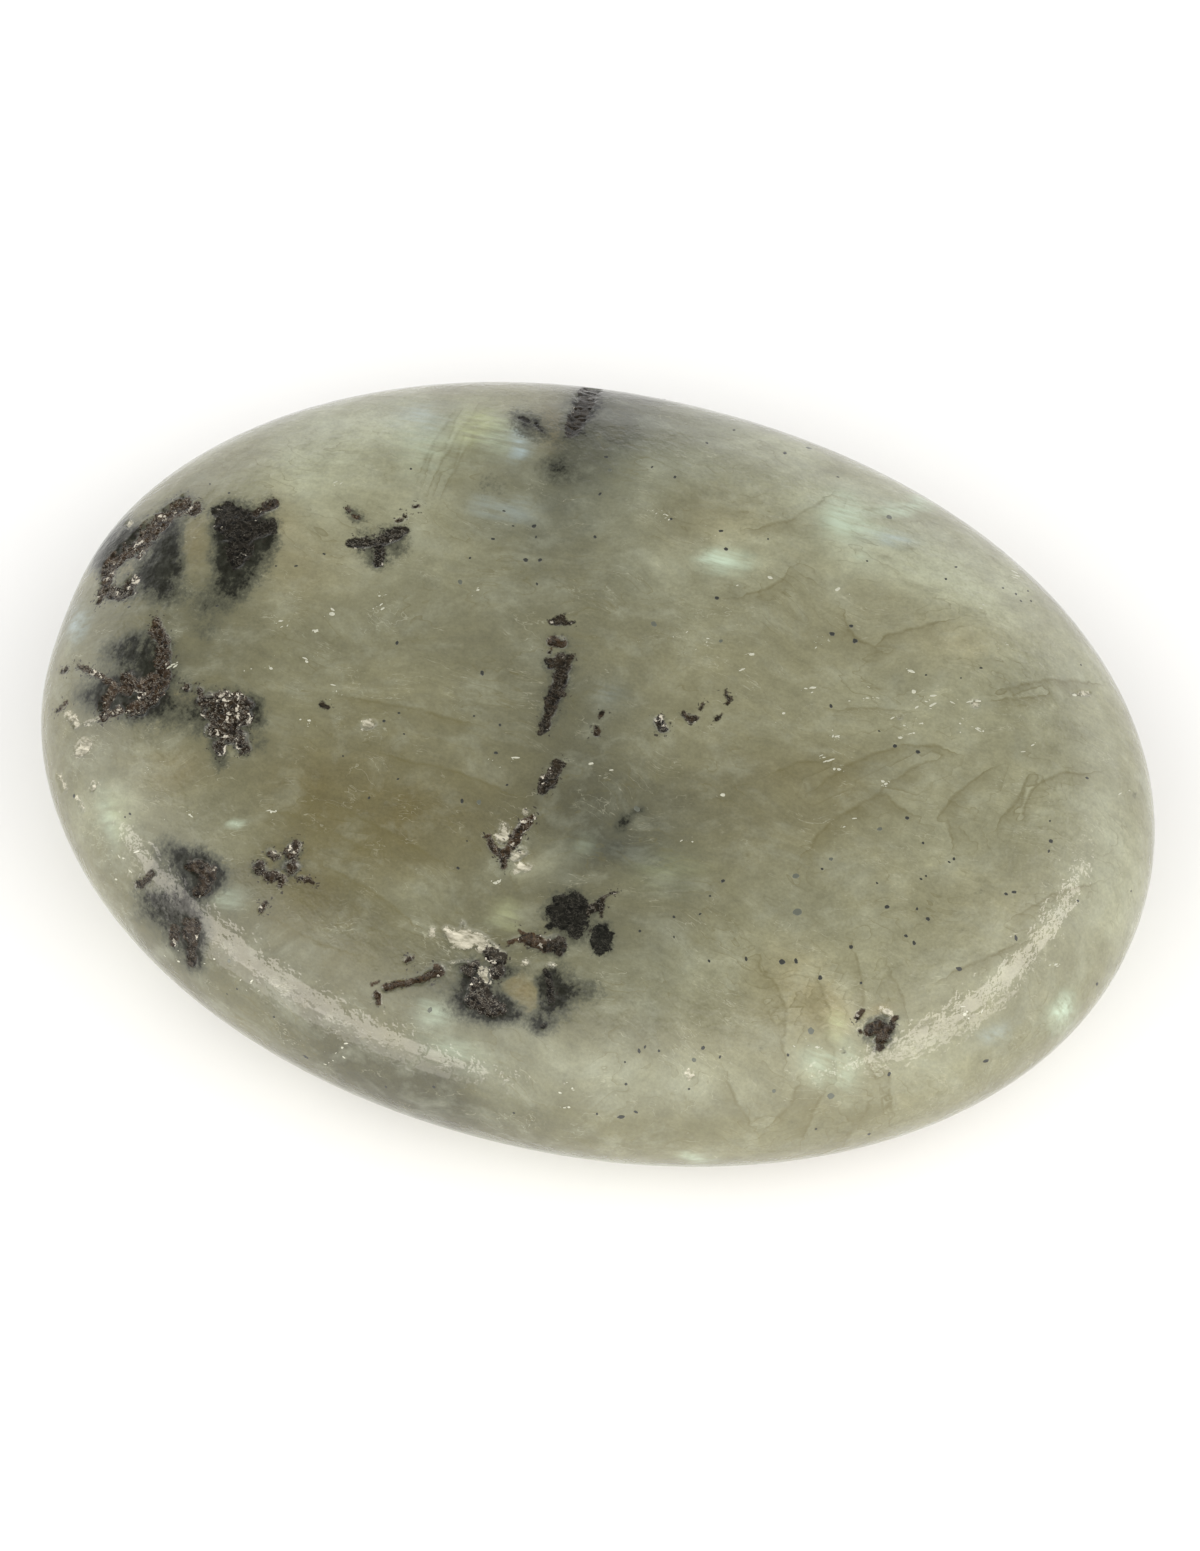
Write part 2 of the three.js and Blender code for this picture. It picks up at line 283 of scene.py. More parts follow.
# %% Draw the dark clots
CLOTS = {
    "west band": {"brown": 0.75, "glint": 0.55, "strokes": [
        [
            (194, 508, 7), (184, 503, 7), (176, 508, 7), (166, 516, 7), (157, 524, 9), (147, 533, 9),
            (139, 541, 9),
        ],
        [(147, 533, 8), (141, 548, 6), (138, 556, 4)],
        [
            (139, 541, 9), (127, 549, 8), (116, 560, 6), (109, 567, 6), (107, 578, 6), (103, 589, 4),
            (98, 602, 3),
        ],
    ]},
    "west band's foot": {"brown": 0.35, "glint": 0.6, "strokes": [
        [(135, 579, 5), (129, 588, 7), (119, 593, 7), (109, 591, 7)],
    ]},
    "west clot": {"brown": 0.1, "glint": 0.08, "strokes": [
        [(216, 513, 5), (228, 510, 7), (240, 513, 8), (250, 517, 7)],
        [(226, 524, 12), (238, 536, 16), (250, 528, 13), (262, 530, 9)],
        [(240, 550, 12), (234, 562, 9)],
        [(273, 521, 3.5), (274, 531, 3)],
    ]},
    "west knob": {"brown": 0.6, "glint": 0.1, "strokes": [
        [(271, 503, 6), (262, 510, 4), (254, 514, 4)],
    ]},
    "small hook": {"brown": 0.15, "glint": 0.35, "strokes": [
        [(349, 543, 3), (361, 542, 6), (374, 541, 5), (385, 538, 6), (396, 534, 6), (404, 531, 4)],
        [(380, 541, 5), (380, 551, 4), (378, 562, 5)],
    ]},
    "hook's crumbs": {"brown": 0.95, "glint": 0.3, "strokes": [
        [(347, 508, 2.5), (349, 512, 2)],
        [(354, 516, 2.5), (358, 518, 2)],
        [(398, 520, 3), (405, 516, 3)],
        [(414, 506, 2.5), (419, 505, 2)],
    ]},
    "tip clot": {"brown": 0.7, "glint": 0.5, "strokes": [
        [(157, 620, 3), (156, 631, 6), (163, 641, 7), (164, 652, 7), (162, 664, 7), (164, 676, 6)],
        [(164, 676, 6), (158, 688, 8), (150, 697, 9), (140, 704, 10), (132, 708, 8)],
        [(153, 684, 10), (140, 686, 8), (128, 680, 7)],
        [(128, 690, 6), (115, 687, 5), (107, 698, 6), (104, 708, 6), (103, 718, 4)],
        [(112, 684, 3), (98, 675, 3), (87, 669, 3), (78, 666, 2.5)],
        [(66, 669, 3), (62, 672, 2.5)],
        [(66, 703, 1.8), (56, 712, 1.8)],
        [(118, 710, 5), (106, 714, 4)],
    ]},
    "sparkling clot": {"brown": 0.45, "glint": 0.78, "strokes": [
        [(205, 700, 8), (219, 700, 9), (233, 702, 9), (247, 704, 6)],
        [(212, 713, 10), (228, 716, 13), (243, 716, 9)],
        [(214, 728, 9), (228, 732, 10)],
        [(219, 744, 7), (221, 752, 4)],
        [(238, 738, 8), (244, 748, 6)],
    ]},
    "ring dots": {"brown": 0.5, "glint": 0.5, "strokes": [
        [(186, 687, 4.5)],
        [(199, 691, 4.5)],
    ]},
    "lone grain": {"brown": 0.3, "glint": 0.0, "strokes": [
        [(323, 704, 4), (328, 707, 3)],
    ]},
    "north streak": {"brown": 0.3, "glint": 0.05, "strokes": [
        [(591, 391, 9), (584, 404, 10), (579, 416, 9), (573, 427, 7), (570, 434, 4)],
    ]},
    "north shadow": {"brown": 0.1, "glint": 0.0, "strokes": [
        [(519, 417, 2), (528, 421, 2.5)],
        [(536, 424, 2.5), (541, 430, 2)],
    ]},
    "middle streak": {"brown": 0.3, "glint": 0.12, "strokes": [
        [(551, 623, 3), (560, 620, 5), (566, 623, 3), (574, 622, 1.5)],
        [(573, 656, 3), (563, 661, 8), (552, 663, 7)],
        [(562, 668, 9), (560, 678, 8), (558, 688, 7), (553, 698, 7), (550, 708, 6), (547, 718, 6)],
        [(547, 718, 6), (545, 728, 5), (540, 733, 3)],
        [(564, 694, 3)],
    ]},
    "middle box": {"brown": 1.0, "glint": 0.1, "strokes": [
        [(552, 641, 5), (562, 642, 5)],
        [(550, 651, 3)],
    ]},
    "lower streak": {"brown": 0.3, "glint": 0.2, "strokes": [
        [(559, 764, 5), (554, 772, 6), (548, 782, 6.5), (543, 789, 5)],
    ]},
    "broken net": {"brown": 0.8, "glint": 0.45, "strokes": [
        [(531, 817, 4), (526, 823, 5), (519, 831, 5), (515, 840, 5), (510, 848, 4.5), (503, 853, 5)],
        [(503, 853, 5), (497, 851, 4), (491, 845, 3.5), (488, 836, 2.5)],
        [(503, 855, 4), (503, 866, 4)],
    ]},
    "east dots": {"brown": 0.5, "glint": 0.2, "strokes": [
        [(602, 713, 3), (600, 717, 2)],
        [(595, 727, 2.5), (596, 733, 3.5)],
        [(684, 714, 3), (691, 718, 4.5), (697, 718, 3)],
        [(700, 709, 1.8), (704, 704, 1.8)],
        [(717, 719, 3), (722, 714, 2)],
        [(726, 693, 3), (730, 698, 3), (728, 703, 2)],
    ]},
    "east glinting dot": {"brown": 0.2, "glint": 0.85, "strokes": [
        [(659, 720, 5), (663, 728, 5)],
    ]},
    "black clot": {"brown": 0.03, "glint": 0.03, "strokes": [
        [(558, 901, 7), (572, 902, 11), (580, 909, 9)],
        [(560, 917, 13), (572, 921, 15)],
        [(577, 934, 7)],
        [(550, 926, 4)],
    ]},
    "black clot's arm": {"brown": 0.25, "glint": 0.3, "strokes": [
        [(588, 910, 4), (598, 907, 4), (603, 898, 3), (611, 893, 1.6), (618, 892, 1.6)],
        [(602, 905, 3), (601, 916, 2)],
    ]},
    "black grain": {"brown": 0.0, "glint": 0.0, "strokes": [
        [(601, 936, 12), (602, 943, 11)],
    ]},
    "rusty grain": {"brown": 0.9, "glint": 0.1, "strokes": [
        [(509, 943, 2), (517, 939, 2.5), (525, 938, 4), (534, 942, 6), (546, 945, 8)],
        [(519, 930, 2), (524, 935, 2)],
    ]},
    "rusty grain's head": {"brown": 0.3, "glint": 0.1, "strokes": [
        [(550, 945, 8), (558, 943, 8), (559, 948, 7)],
    ]},
    "shoulder clot": {"brown": 0.45, "glint": 0.2, "strokes": [
        [(189, 866, 5), (200, 868, 8), (208, 876, 8), (204, 887, 8), (197, 892, 6)],
        [(213, 870, 4)],
        [(140, 884, 5), (147, 879, 4), (152, 873, 3)],
        [(190, 925, 9), (192, 940, 6), (192, 952, 5), (193, 961, 5)],
        [(174, 930, 5), (174, 943, 4)],
    ]},
    "crossed grains": {"brown": 0.5, "glint": 0.5, "strokes": [
        [(295, 845, 5), (292, 852, 7)],
        [(270, 853, 4), (277, 857, 4)],
        [(259, 868, 6.5)],
        [(268, 877, 5), (275, 875, 5)],
        [(291, 867, 8)],
        [(283, 878, 4.5), (281, 885, 3)],
        [(300, 878, 3), (308, 880, 3), (314, 883, 2)],
        [(264, 904, 3.5), (260, 911, 3)],
    ]},
    "thin string": {"brown": 0.9, "glint": 0.2, "strokes": [
        [(387, 987, 5), (400, 984, 4.5), (414, 981, 4.5), (427, 976, 5.5), (438, 970, 5.5)],
        [(409, 958, 4), (405, 962, 2.5)],
        [(377, 996, 4.5), (378, 1002, 3.5)],
        [(372, 984, 1.5), (379, 981, 1.5)],
    ]},
    "front clot": {"brown": 0.25, "glint": 0.4, "strokes": [
        [(489, 953, 6), (497, 960, 7), (503, 955, 4)],
        [(467, 971, 7), (474, 966, 5)],
        [(477, 988, 9), (474, 1000, 9)],
        [(486, 1003, 9), (497, 1009, 8)],
        [(497, 972, 7)],
    ]},
    "front clot's east": {"brown": 0.1, "glint": 0.1, "strokes": [
        [(546, 972, 3), (549, 982, 4), (551, 1000, 4)],
        [(543, 1026, 4)],
    ]},
    "east grain": {"brown": 0.7, "glint": 0.15, "strokes": [
        [(872, 1030, 7), (879, 1026, 8), (886, 1030, 8), (882, 1038, 7)],
        [(892, 1022, 5), (895, 1018, 3.5)],
        [(880, 1047, 4)],
        [(862, 1011, 3), (857, 1018, 3)],
        [(860, 1031, 2.5)],
    ]},
}
BELLY_CLOTS = [
    (-18.0, -2.0, 0.9), (-17.2, -3.6, 0.8), (-18.4, -4.6, 0.6), (-5.6, 15.8, 0.6), (-5.0, 13.2, 0.6),
    (13.2, 6.4, 0.8), (14.6, 5.6, 0.9), (3.4, -13.6, 0.5), (5.8, -12.9, 0.6),
]
print(len(CLOTS), "clots,", sum(len(c["strokes"]) for c in CLOTS.values()), "strokes")

# %% [markdown]
# ## Measuring the distance to a stroke
# A distance in millimetres is kept on each vertex, below nought inside a stroke. A distance is
# straight between vertices, so the material can draw an edge on it that is finer than the faces.
# Near the rim the photograph squeezes the surface, so the true distance along it also counts.

# %% Measure strokes
FAR = 9.0
DEPTH_SHARE = 0.5


def surface_facing(points):
    """How squarely each vertex faces the camera: a cosine, below 0 where it faces away."""
    normals = np.empty(len(stone.data.vertices) * 3)
    stone.data.vertices.foreach_get("normal", normals)
    towards = EYE - points
    return (normals.reshape(-1, 3) * towards).sum(1) / np.linalg.norm(towards, axis=1)


def capsule_distance(points, start, end, start_radius, end_radius):
    """Distance to a round brush's path from start to end, and the brush's radius there."""
    path = end - start
    share = np.clip((points - start) @ path / max(path @ path, 1e-9), 0, 1)
    nearest = start + share[:, None] * path
    radius = start_radius + share * (end_radius - start_radius)
    return np.linalg.norm(points - nearest, axis=1), radius


def stroke_distance(stroke, surface):
    """Distance in mm from each vertex to a stroke drawn in the photograph, and the brush's radius."""
    best = np.full(len(surface["points"]), FAR)
    brush = np.full(len(best), 0.1)
    rays = [Vector(photo_ray(x, y)) for x, y, _ in stroke]
    spots = [surface["tree"].ray_cast(Vector(EYE), ray)[0] for ray in rays]
    stops = list(zip(stroke, spots))
    for (first, first_spot), (last, last_spot) in zip(stops, stops[1:] or stops):
        ends = np.array(first[:2], float), np.array(last[:2], float)
        flat, radius = capsule_distance(surface["pixels"], *ends, first[2], last[2])
        deep, _ = capsule_distance(surface["points"], np.array(first_spot), np.array(last_spot), 0, 0)
        radius = radius / PIXELS_PER_MM
        reach = np.maximum(flat / PIXELS_PER_MM, DEPTH_SHARE * deep) - radius
        reach[surface["facing"] < 0] = FAR
        nearer = reach < best
        best[nearer], brush[nearer] = reach[nearer], radius[nearer]
    return best, brush


def visible_surface():
    """What strokes are measured on: points, their places in the photograph, and a tree for rays."""
    points = points_of(stone)
    faces = [tuple(face.vertices) for face in stone.data.polygons]
    return {
        "points": points,
        "pixels": photo_place(points),
        "facing": surface_facing(points),
        "tree": BVHTree.FromPolygons([tuple(p) for p in points], faces),
    }


surface = visible_surface()
print("vertices that face the camera:", int((surface["facing"] > 0).sum()))

# %% [markdown]
# ## Clots on the vertices
# Each vertex keeps the distance to its nearest stroke, and what that stroke's clot is like. The
# underside isn't seen, so its clots are plain round dabs, given in millimetres.

# %% Measure the clots
BELLY_BROWN = 0.4
BELLY_GLINT = 0.15


def clots_on(surface):
    """Distance to the nearest clot, its brush's radius, brownness and glint, on each vertex."""
    found = {"reach": np.full(len(surface["points"]), FAR)}
    for kind in ("brush", "brown", "glint"):
        found[kind] = np.zeros(len(surface["points"]))
    for clot in CLOTS.values():
        for stroke in clot["strokes"]:
            reach, brush = stroke_distance(stroke, surface)
            nearer = reach < found["reach"]
            found["reach"][nearer], found["brush"][nearer] = reach[nearer], brush[nearer]
            found["brown"][nearer], found["glint"][nearer] = clot["brown"], clot["glint"]
    belly = surface["points"][:, 2] < GIRDLE_MIDDLE[2]
    for x, y, radius in BELLY_CLOTS:
        aside = np.linalg.norm(surface["points"][:, :2] - [x + GIRDLE_MIDDLE[0], y], axis=1)
        reach = np.where(belly, aside - radius, FAR)
        nearer = reach < found["reach"]
        found["reach"][nearer], found["brush"][nearer] = reach[nearer], 0.5 * radius
        found["brown"][nearer], found["glint"][nearer] = BELLY_BROWN, BELLY_GLINT
    return found


clots = clots_on(surface)
print("vertices inside clots:", int((clots["reach"] < 0).sum()))

# %% [markdown]
# ## Chips and veins
# Pale chips are places where the polish broke along cleavage. Veins are thin curved seams, so they
# are drawn as lines. A line's distance is kept with a side, above nought on its left and below on
# its right, because a value that passes through nought draws a line thinner than a face.

# %% Draw chips and veins
CHIPS = [
    [(128, 524, 4)], [(70, 716, 4), (76, 725, 4)], [(80, 750, 7), (86, 743, 6)],
    [(58, 776, 2.5), (64, 790, 3)],
    [(95, 783, 2.5), (92, 790, 2.5)], [(78, 800, 2), (82, 809, 2.5)], [(84, 724, 1.5), (100, 718, 1.5)],
    [
        (447, 930, 5), (455, 938, 9), (466, 939, 11), (477, 939, 8), (485, 946, 8), (493, 952, 7),
        (499, 957, 5),
    ],
    [(463, 921, 1.5), (463, 930, 4)], [(433, 929, 2.5), (431, 935, 2)], [(451, 964, 1.5), (466, 962, 2)],
    [(526, 813, 4)], [(504, 827, 5), (503, 838, 6)], [(515, 855, 6), (523, 851, 5)],
    [(517, 868, 4), (528, 867, 4)], [(483, 972, 5), (484, 981, 6), (480, 988, 4)], [(551, 966, 3)],
    [(526, 963, 3)], [(885, 1011, 4), (892, 1015, 4)], [(900, 716, 3.5)], [(976, 703, 5)],
    [(1073, 693, 2), (1088, 693, 3)], [(690, 1074, 5)], [(366, 725, 5), (373, 723, 4)],
]
VEINS = [
    [(763, 527), (778, 524), (794, 519), (809, 510), (823, 501)],
    [(749, 594), (766, 591), (776, 585), (783, 578)],
    [(780, 771), (797, 764), (817, 761)],
    [(823, 783), (846, 766), (874, 754), (896, 748)],
    [(812, 845), (829, 823), (849, 811), (869, 800), (883, 788)],
    [(883, 788), (894, 806), (908, 812)],
    [(940, 814), (954, 797), (966, 786), (980, 776)],
    [(951, 837), (949, 823), (943, 811)],
    [(1023, 811), (1029, 797), (1040, 783), (1060, 774), (1082, 773)],
    [(1006, 814), (1017, 800), (1026, 781)],
    [(846, 709), (868, 709), (893, 710)],
    [(912, 746), (926, 745), (942, 748)],
    [(1008, 688), (1031, 683), (1049, 680), (1086, 682)],
    [(1006, 700), (1024, 699), (1042, 695)],
    [(846, 620), (854, 637), (877, 649)],
    [(888, 636), (901, 633), (940, 622)],
    [(863, 511), (888, 509), (912, 508)],
    [(757, 966), (774, 986), (786, 1009), (783, 1043)],
    [(811, 997), (826, 1020), (834, 1049), (834, 1077)],
    [(854, 954), (862, 980), (863, 1009)],
    [(894, 980), (900, 992), (904, 1005)],
    [(874, 1074), (879, 1090), (883, 1108)],
    [(889, 1077), (891, 1109)],
    [(777, 1117), (791, 1106), (797, 1089)],
    [(849, 1131), (863, 1117), (869, 1103)],
    [(951, 974), (983, 960), (1014, 946)],
    [(1022, 913), (1049, 897), (1083, 886)],
    [(438, 470), (450, 448), (462, 428), (476, 412)],
    [(452, 476), (463, 455), (474, 436)],
    [(424, 462), (436, 440), (450, 420)],
    [(310, 800), (350, 812), (400, 838), (440, 862)],
    [(280, 812), (320, 826), (360, 848)],
    [(400, 760), (450, 770), (500, 790)],
    [(360, 700), (400, 706), (460, 722)],
    [(330, 870), (370, 890), (410, 920)],
    [(270, 915), (300, 935), (340, 950)],
    [(762, 962), (772, 980), (780, 995)],
    [(768, 1010), (777, 1030), (783, 1055)],
    [(806, 1000), (816, 1020), (826, 1040), (833, 1060)],
    [(822, 985), (826, 1000), (829, 1010)],
    [(730, 1085), (738, 1105), (748, 1120)],
    [(822, 1095), (812, 1110), (806, 1130)],
    [(862, 1115), (852, 1130), (845, 1140)],
    [(900, 778), (912, 768), (930, 762)],
]
print(len(CHIPS), "chips,", len(VEINS), "veins")

# %% [markdown]
# ## Chips and veins on the vertices
# A chip is measured as a clot is. A vein is measured piece by piece in the photograph's own plane,
# where its side is easy to tell: it is the sign of the cross product with the vein's direction.

# %% Measure chips and veins
VEIN_FAR = 2.0
GRAZING = 0.1


def chips_on(surface):
    """Distance to the nearest chip, in mm, on each vertex."""
    reach = np.full(len(surface["points"]), FAR)
    for stroke in CHIPS:
        reach = np.minimum(reach, stroke_distance(stroke, surface)[0])
    return reach


def veins_on(surface):
    """Distance to the nearest vein in mm, once with the vein's side as its sign and once without."""
    count = len(surface["points"])
    sided, nearest = np.full(count, VEIN_FAR), np.full(count, VEIN_FAR)
    for vein in VEINS:
        stops = np.array(vein, float)
        for first, last in zip(stops, stops[1:]):
            path = last - first
            beyond = (surface["pixels"] - first) @ path / (path @ path)
            share = np.clip(beyond, 0, 1)
            off = surface["pixels"] - (first + share[:, None] * path)
            side = np.sign(path[0] * off[:, 1] - path[1] * off[:, 0])
            reach = np.linalg.norm(off, axis=1) / PIXELS_PER_MM
            reach[surface["facing"] < GRAZING] = VEIN_FAR
            nearer = reach < nearest
            nearest[nearer] = reach[nearer]
            sided[nearer] = (reach * side)[nearer]
    return sided, nearest


chip_reach = chips_on(surface)
print("vertices inside chips:", int((chip_reach < 0).sum()))

# %% [markdown]
# ## Finer faces where the stone is broken
# The plucked grains need relief finer than the blank's faces, so only the faces near them are
# subdivided. That keeps the mesh small enough, and each new vertex is ground onto the form again.

# %% Subdivide near the clots
REFINE_REACH = 0.2
CUTS = 3
near = np.minimum(clots["reach"], chip_reach) < REFINE_REACH
corner_count = np.array([sum(near[v] for v in face.vertices) for face in stone.data.polygons])
stone.data.polygons.foreach_set("select", corner_count > 0)
bpy.ops.object.mode_set(mode="EDIT")
bpy.ops.mesh.select_mode(type="FACE")
bpy.ops.object.mode_set(mode="OBJECT")
stone.data.polygons.foreach_set("select", corner_count > 0)
bpy.ops.object.mode_set(mode="EDIT")
bpy.ops.mesh.subdivide(number_cuts=CUTS)
bpy.ops.object.mode_set(mode="OBJECT")
set_points(stone, ground(points_of(stone)))
surface = visible_surface()
clots = clots_on(surface)
triangles = sum(len(face.vertices) - 2 for face in stone.data.polygons)
print("refined:", len(stone.data.vertices), "vertices,", triangles, "triangles")

# %% [markdown]
# ## Softer marks
# Under the polish lie things with no edge: dark grains that show through as shade, clouds of colour
# and the pale flashes that labradorite is known for. Each is a soft dab of an oval brush:
# (pixels across, pixels down, half-width, half-height, turn in degrees, strength).

# %% Dab the soft marks
SHADES = [
    (168, 548, 15, 32, 12, 1.1), (156, 578, 22, 22, 20, 0.9), (118, 540, 24, 14, -50, 1.0),
    (102, 555, 18, 14, -50, 0.75),
    (222, 545, 12, 26, 0, 0.5), (246, 528, 24, 22, 0, 0.75), (242, 556, 24, 30, 8, 0.95),
    (230, 588, 18, 20, 20, 0.6), (262, 545, 14, 26, 0, 0.35),
    (208, 606, 20, 16, 0, 0.36), (205, 632, 14, 12, 0, 0.36), (180, 596, 20, 10, 0, 0.25),
    (392, 546, 20, 16, 0, 0.5), (372, 558, 12, 10, 0, 0.3), (360, 520, 12, 10, 0, 0.28),
    (350, 512, 12, 8, 0, 0.2),
    (132, 648, 20, 14, 0, 0.8), (116, 655, 16, 11, 0, 0.6), (152, 668, 16, 18, 0, 0.85),
    (146, 690, 30, 22, -10, 0.9), (118, 694, 26, 16, 0, 0.8), (90, 692, 18, 14, 0, 0.55),
    (165, 716, 34, 14, 5, 0.42), (190, 712, 16, 16, 0, 0.3), (150, 742, 26, 12, 0, 0.18),
    (226, 720, 28, 28, 0, 0.3), (256, 712, 12, 18, 0, 0.55), (219, 762, 9, 14, 0, 0.45),
    (262, 745, 14, 9, 0, 0.25),
    (586, 408, 18, 28, 15, 0.55), (606, 402, 16, 16, 0, 0.3), (531, 425, 22, 13, 25, 0.62),
    (574, 440, 22, 26, 15, 0.3), (556, 463, 12, 9, 0, 0.6), (568, 476, 30, 14, 0, 0.34),
    (490, 486, 28, 15, 0, 0.26),
    (563, 690, 14, 45, 12, 0.2), (623, 821, 7, 11, 25, 1.0), (639, 809, 8, 5, -30, 0.7),
    (186, 862, 34, 17, 22, 0.95), (205, 880, 18, 18, 0, 0.75), (154, 905, 18, 18, 0, 0.8),
    (180, 912, 22, 24, 0, 0.85),
    (190, 938, 15, 24, -5, 1.0), (196, 960, 8, 12, 0, 0.4),
    (290, 862, 26, 22, 0, 0.15), (575, 915, 32, 26, 0, 0.3), (482, 1000, 36, 20, 15, 0.8),
    (500, 1014, 28, 11, 0, 0.65),
    (552, 1003, 24, 22, 0, 0.58), (567, 988, 24, 14, 0, 0.6), (543, 1026, 12, 10, 0, 0.5),
    (595, 992, 14, 14, 0, 0.3),
    (511, 974, 15, 8, 0, 0.55), (523, 994, 12, 10, 0, -1.3), (194, 545, 10, 22, 0, -0.4),
    (549, 984, 10, 14, 0, 0.5), (475, 975, 15, 20, 0, 0.45),
    (880, 1032, 18, 16, 0, 0.35), (980, 894, 8, 6, 0, 0.25), (961, 931, 9, 7, 0, 0.25),
    (842, 1051, 5, 4, 0, 0.4), (796, 1120, 5, 4, 0, 0.4), (758, 1047, 4, 4, 0, 0.3),
    (1134, 795, 5, 4, 0, 0.4),
]
# Painted shade, partly the stone's darker tone: broad darker dabs, most on the left and along the rims.
DARK_TONE_AND_SHADE = [
    (150, 650, 110, 110, 0, 0.5), (160, 900, 120, 120, 0, 0.4), (300, 640, 90, 90, 0, 0.12),
    (300, 1000, 120, 60, 30, 0.35), (440, 1105, 150, 60, 12, 0.9), (560, 940, 120, 100, 0, 0.46),
    (540, 700, 110, 110, 0, 0.42), (420, 960, 110, 60, 20, 0.25), (660, 960, 90, 80, 0, 0.2),
    (560, 800, 90, 70, 0, 0.45), (650, 810, 60, 50, 0, 0.2), (230, 780, 90, 90, 0, 0.12),
    (700, 1110, 120, 40, 0, 0.22),
    (560, 430, 90, 50, 0, 0.26), (650, 408, 100, 30, 8, 0.6), (560, 410, 60, 30, 0, 0.2),
    (190, 950, 90, 90, 30, 0.3), (330, 1050, 110, 50, 25, 0.3), (70, 700, 50, 110, 0, 0.3),
    (480, 1000, 120, 80, 10, 0.14), (175, 550, 80, 50, 0, 0.32), (165, 650, 70, 60, 0, 0.2),
    (590, 445, 60, 34, 0, 0.4), (480, 990, 60, 40, 10, 0.16), (170, 890, 60, 50, 0, 0.2),
]
OLIVE = [
    (370, 835, 130, 75, 10, 0.7), (290, 790, 100, 55, 5, 0.22), (430, 770, 100, 45, 5, 0.4),
    (330, 925, 80, 45, 25, 0.6), (240, 870, 50, 40, 0, 0.4), (850, 795, 110, 55, -20, 0.42),
    (960, 790, 80, 55, 0, 0.15), (720, 790, 80, 50, 0, 0.35), (900, 690, 100, 22, 0, 0.15),
    (1080, 700, 60, 22, 0, 0.35), (840, 1100, 60, 26, 0, 0.3), (880, 930, 70, 50, 0, 0.25),
    (820, 640, 80, 40, 0, 0.1), (480, 470, 40, 24, 0, 0.25), (1040, 880, 60, 60, 0, 0.2),
]
COOL = [
    (560, 490, 90, 60, 0, 0.8), (600, 420, 60, 40, 0, 0.45), (700, 450, 90, 40, 10, 0.3),
    (590, 570, 110, 60, 0, 0.35),
    (600, 720, 60, 70, 0, 0.4), (640, 825, 95, 60, 0, 0.45), (660, 872, 70, 34, 0, 0.4),
    (590, 860, 50, 28, 0, 0.6), (680, 480, 80, 50, 0, 0.3), (480, 640, 80, 50, 0, 0.2),
    (400, 600, 60, 50, 0, 0.2), (800, 900, 50, 40, 0, 0.25), (330, 650, 60, 40, 0, 0.15),
]
# Painted light, partly paler turbid feldspar: brighter dabs, most towards the near and right-hand rims.
PALE_TONE_AND_LIGHT = [
    (400, 425, 75, 35, -15, 0.7), (320, 460, 60, 30, -20, 0.4), (880, 525, 90, 45, 20, 0.5),
    (620, 1065, 120, 36, 8, 0.65), (1020, 950, 100, 80, -40, 0.25), (105, 815, 30, 50, -20, 0.6),
    (1000, 610, 90, 60, 35, 0.3), (650, 960, 80, 30, 0, 0.45), (480, 1075, 80, 28, 20, 0.35),
    (770, 465, 80, 36, 15, 0.35), (740, 560, 60, 30, 0, 0.3), (900, 1060, 80, 40, 0, 0.3),
    (440, 900, 50, 30, 0, 0.3), (1110, 900, 40, 70, 15, 0.5), (545, 856, 36, 26, 0, 0.4),
    (508, 832, 13, 20, 20, 0.7), (524, 862, 20, 14, 0, 0.7),
    (920, 680, 120, 55, 0, 0.34), (640, 505, 60, 40, 0, 0.3), (350, 560, 120, 60, 0, 0.3),
    (290, 490, 90, 50, -20, 0.42), (960, 800, 80, 60, 0, 0.25), (860, 565, 50, 40, 0, 0.4),
    (940, 560, 80, 40, 30, 0.3), (220, 830, 70, 50, 20, 0.25), (840, 950, 110, 60, 0, 0.25),
    (780, 480, 120, 60, 20, 0.3), (940, 570, 110, 50, 30, 0.35), (1060, 680, 70, 70, 30, 0.35),
    (1100, 800, 50, 80, 0, 0.4),
    (430, 470, 110, 60, -10, 0.3), (700, 580, 90, 40, 0, 0.25), (960, 880, 110, 60, 0, 0.2),
    (620, 440, 80, 30, 10, 0.2),
]
TAN = [
    (511, 834, 13, 16, 20, 0.25), (527, 861, 20, 14, 0, 0.25),
    (196, 545, 13, 26, 0, 0.5), (551, 428, 15, 18, 0, 0.9), (523, 993, 14, 13, 0, 0.9),
    (129, 566, 7, 8, 0, 0.7), (300, 560, 60, 40, 0, 0.25), (183, 700, 14, 9, 0, 0.5),
    (835, 1015, 26, 26, 0, 0.35), (790, 985, 40, 40, 0, 0.3), (970, 645, 70, 24, 0, 0.2),
    (990, 905, 70, 40, 0, 0.15), (910, 620, 80, 40, 0, 0.1), (180, 770, 30, 24, 0, 0.35),
    (280, 520, 20, 30, 0, 0.3), (720, 520, 60, 30, 0, 0.2), (880, 1010, 12, 6, 0, 0.5),
]
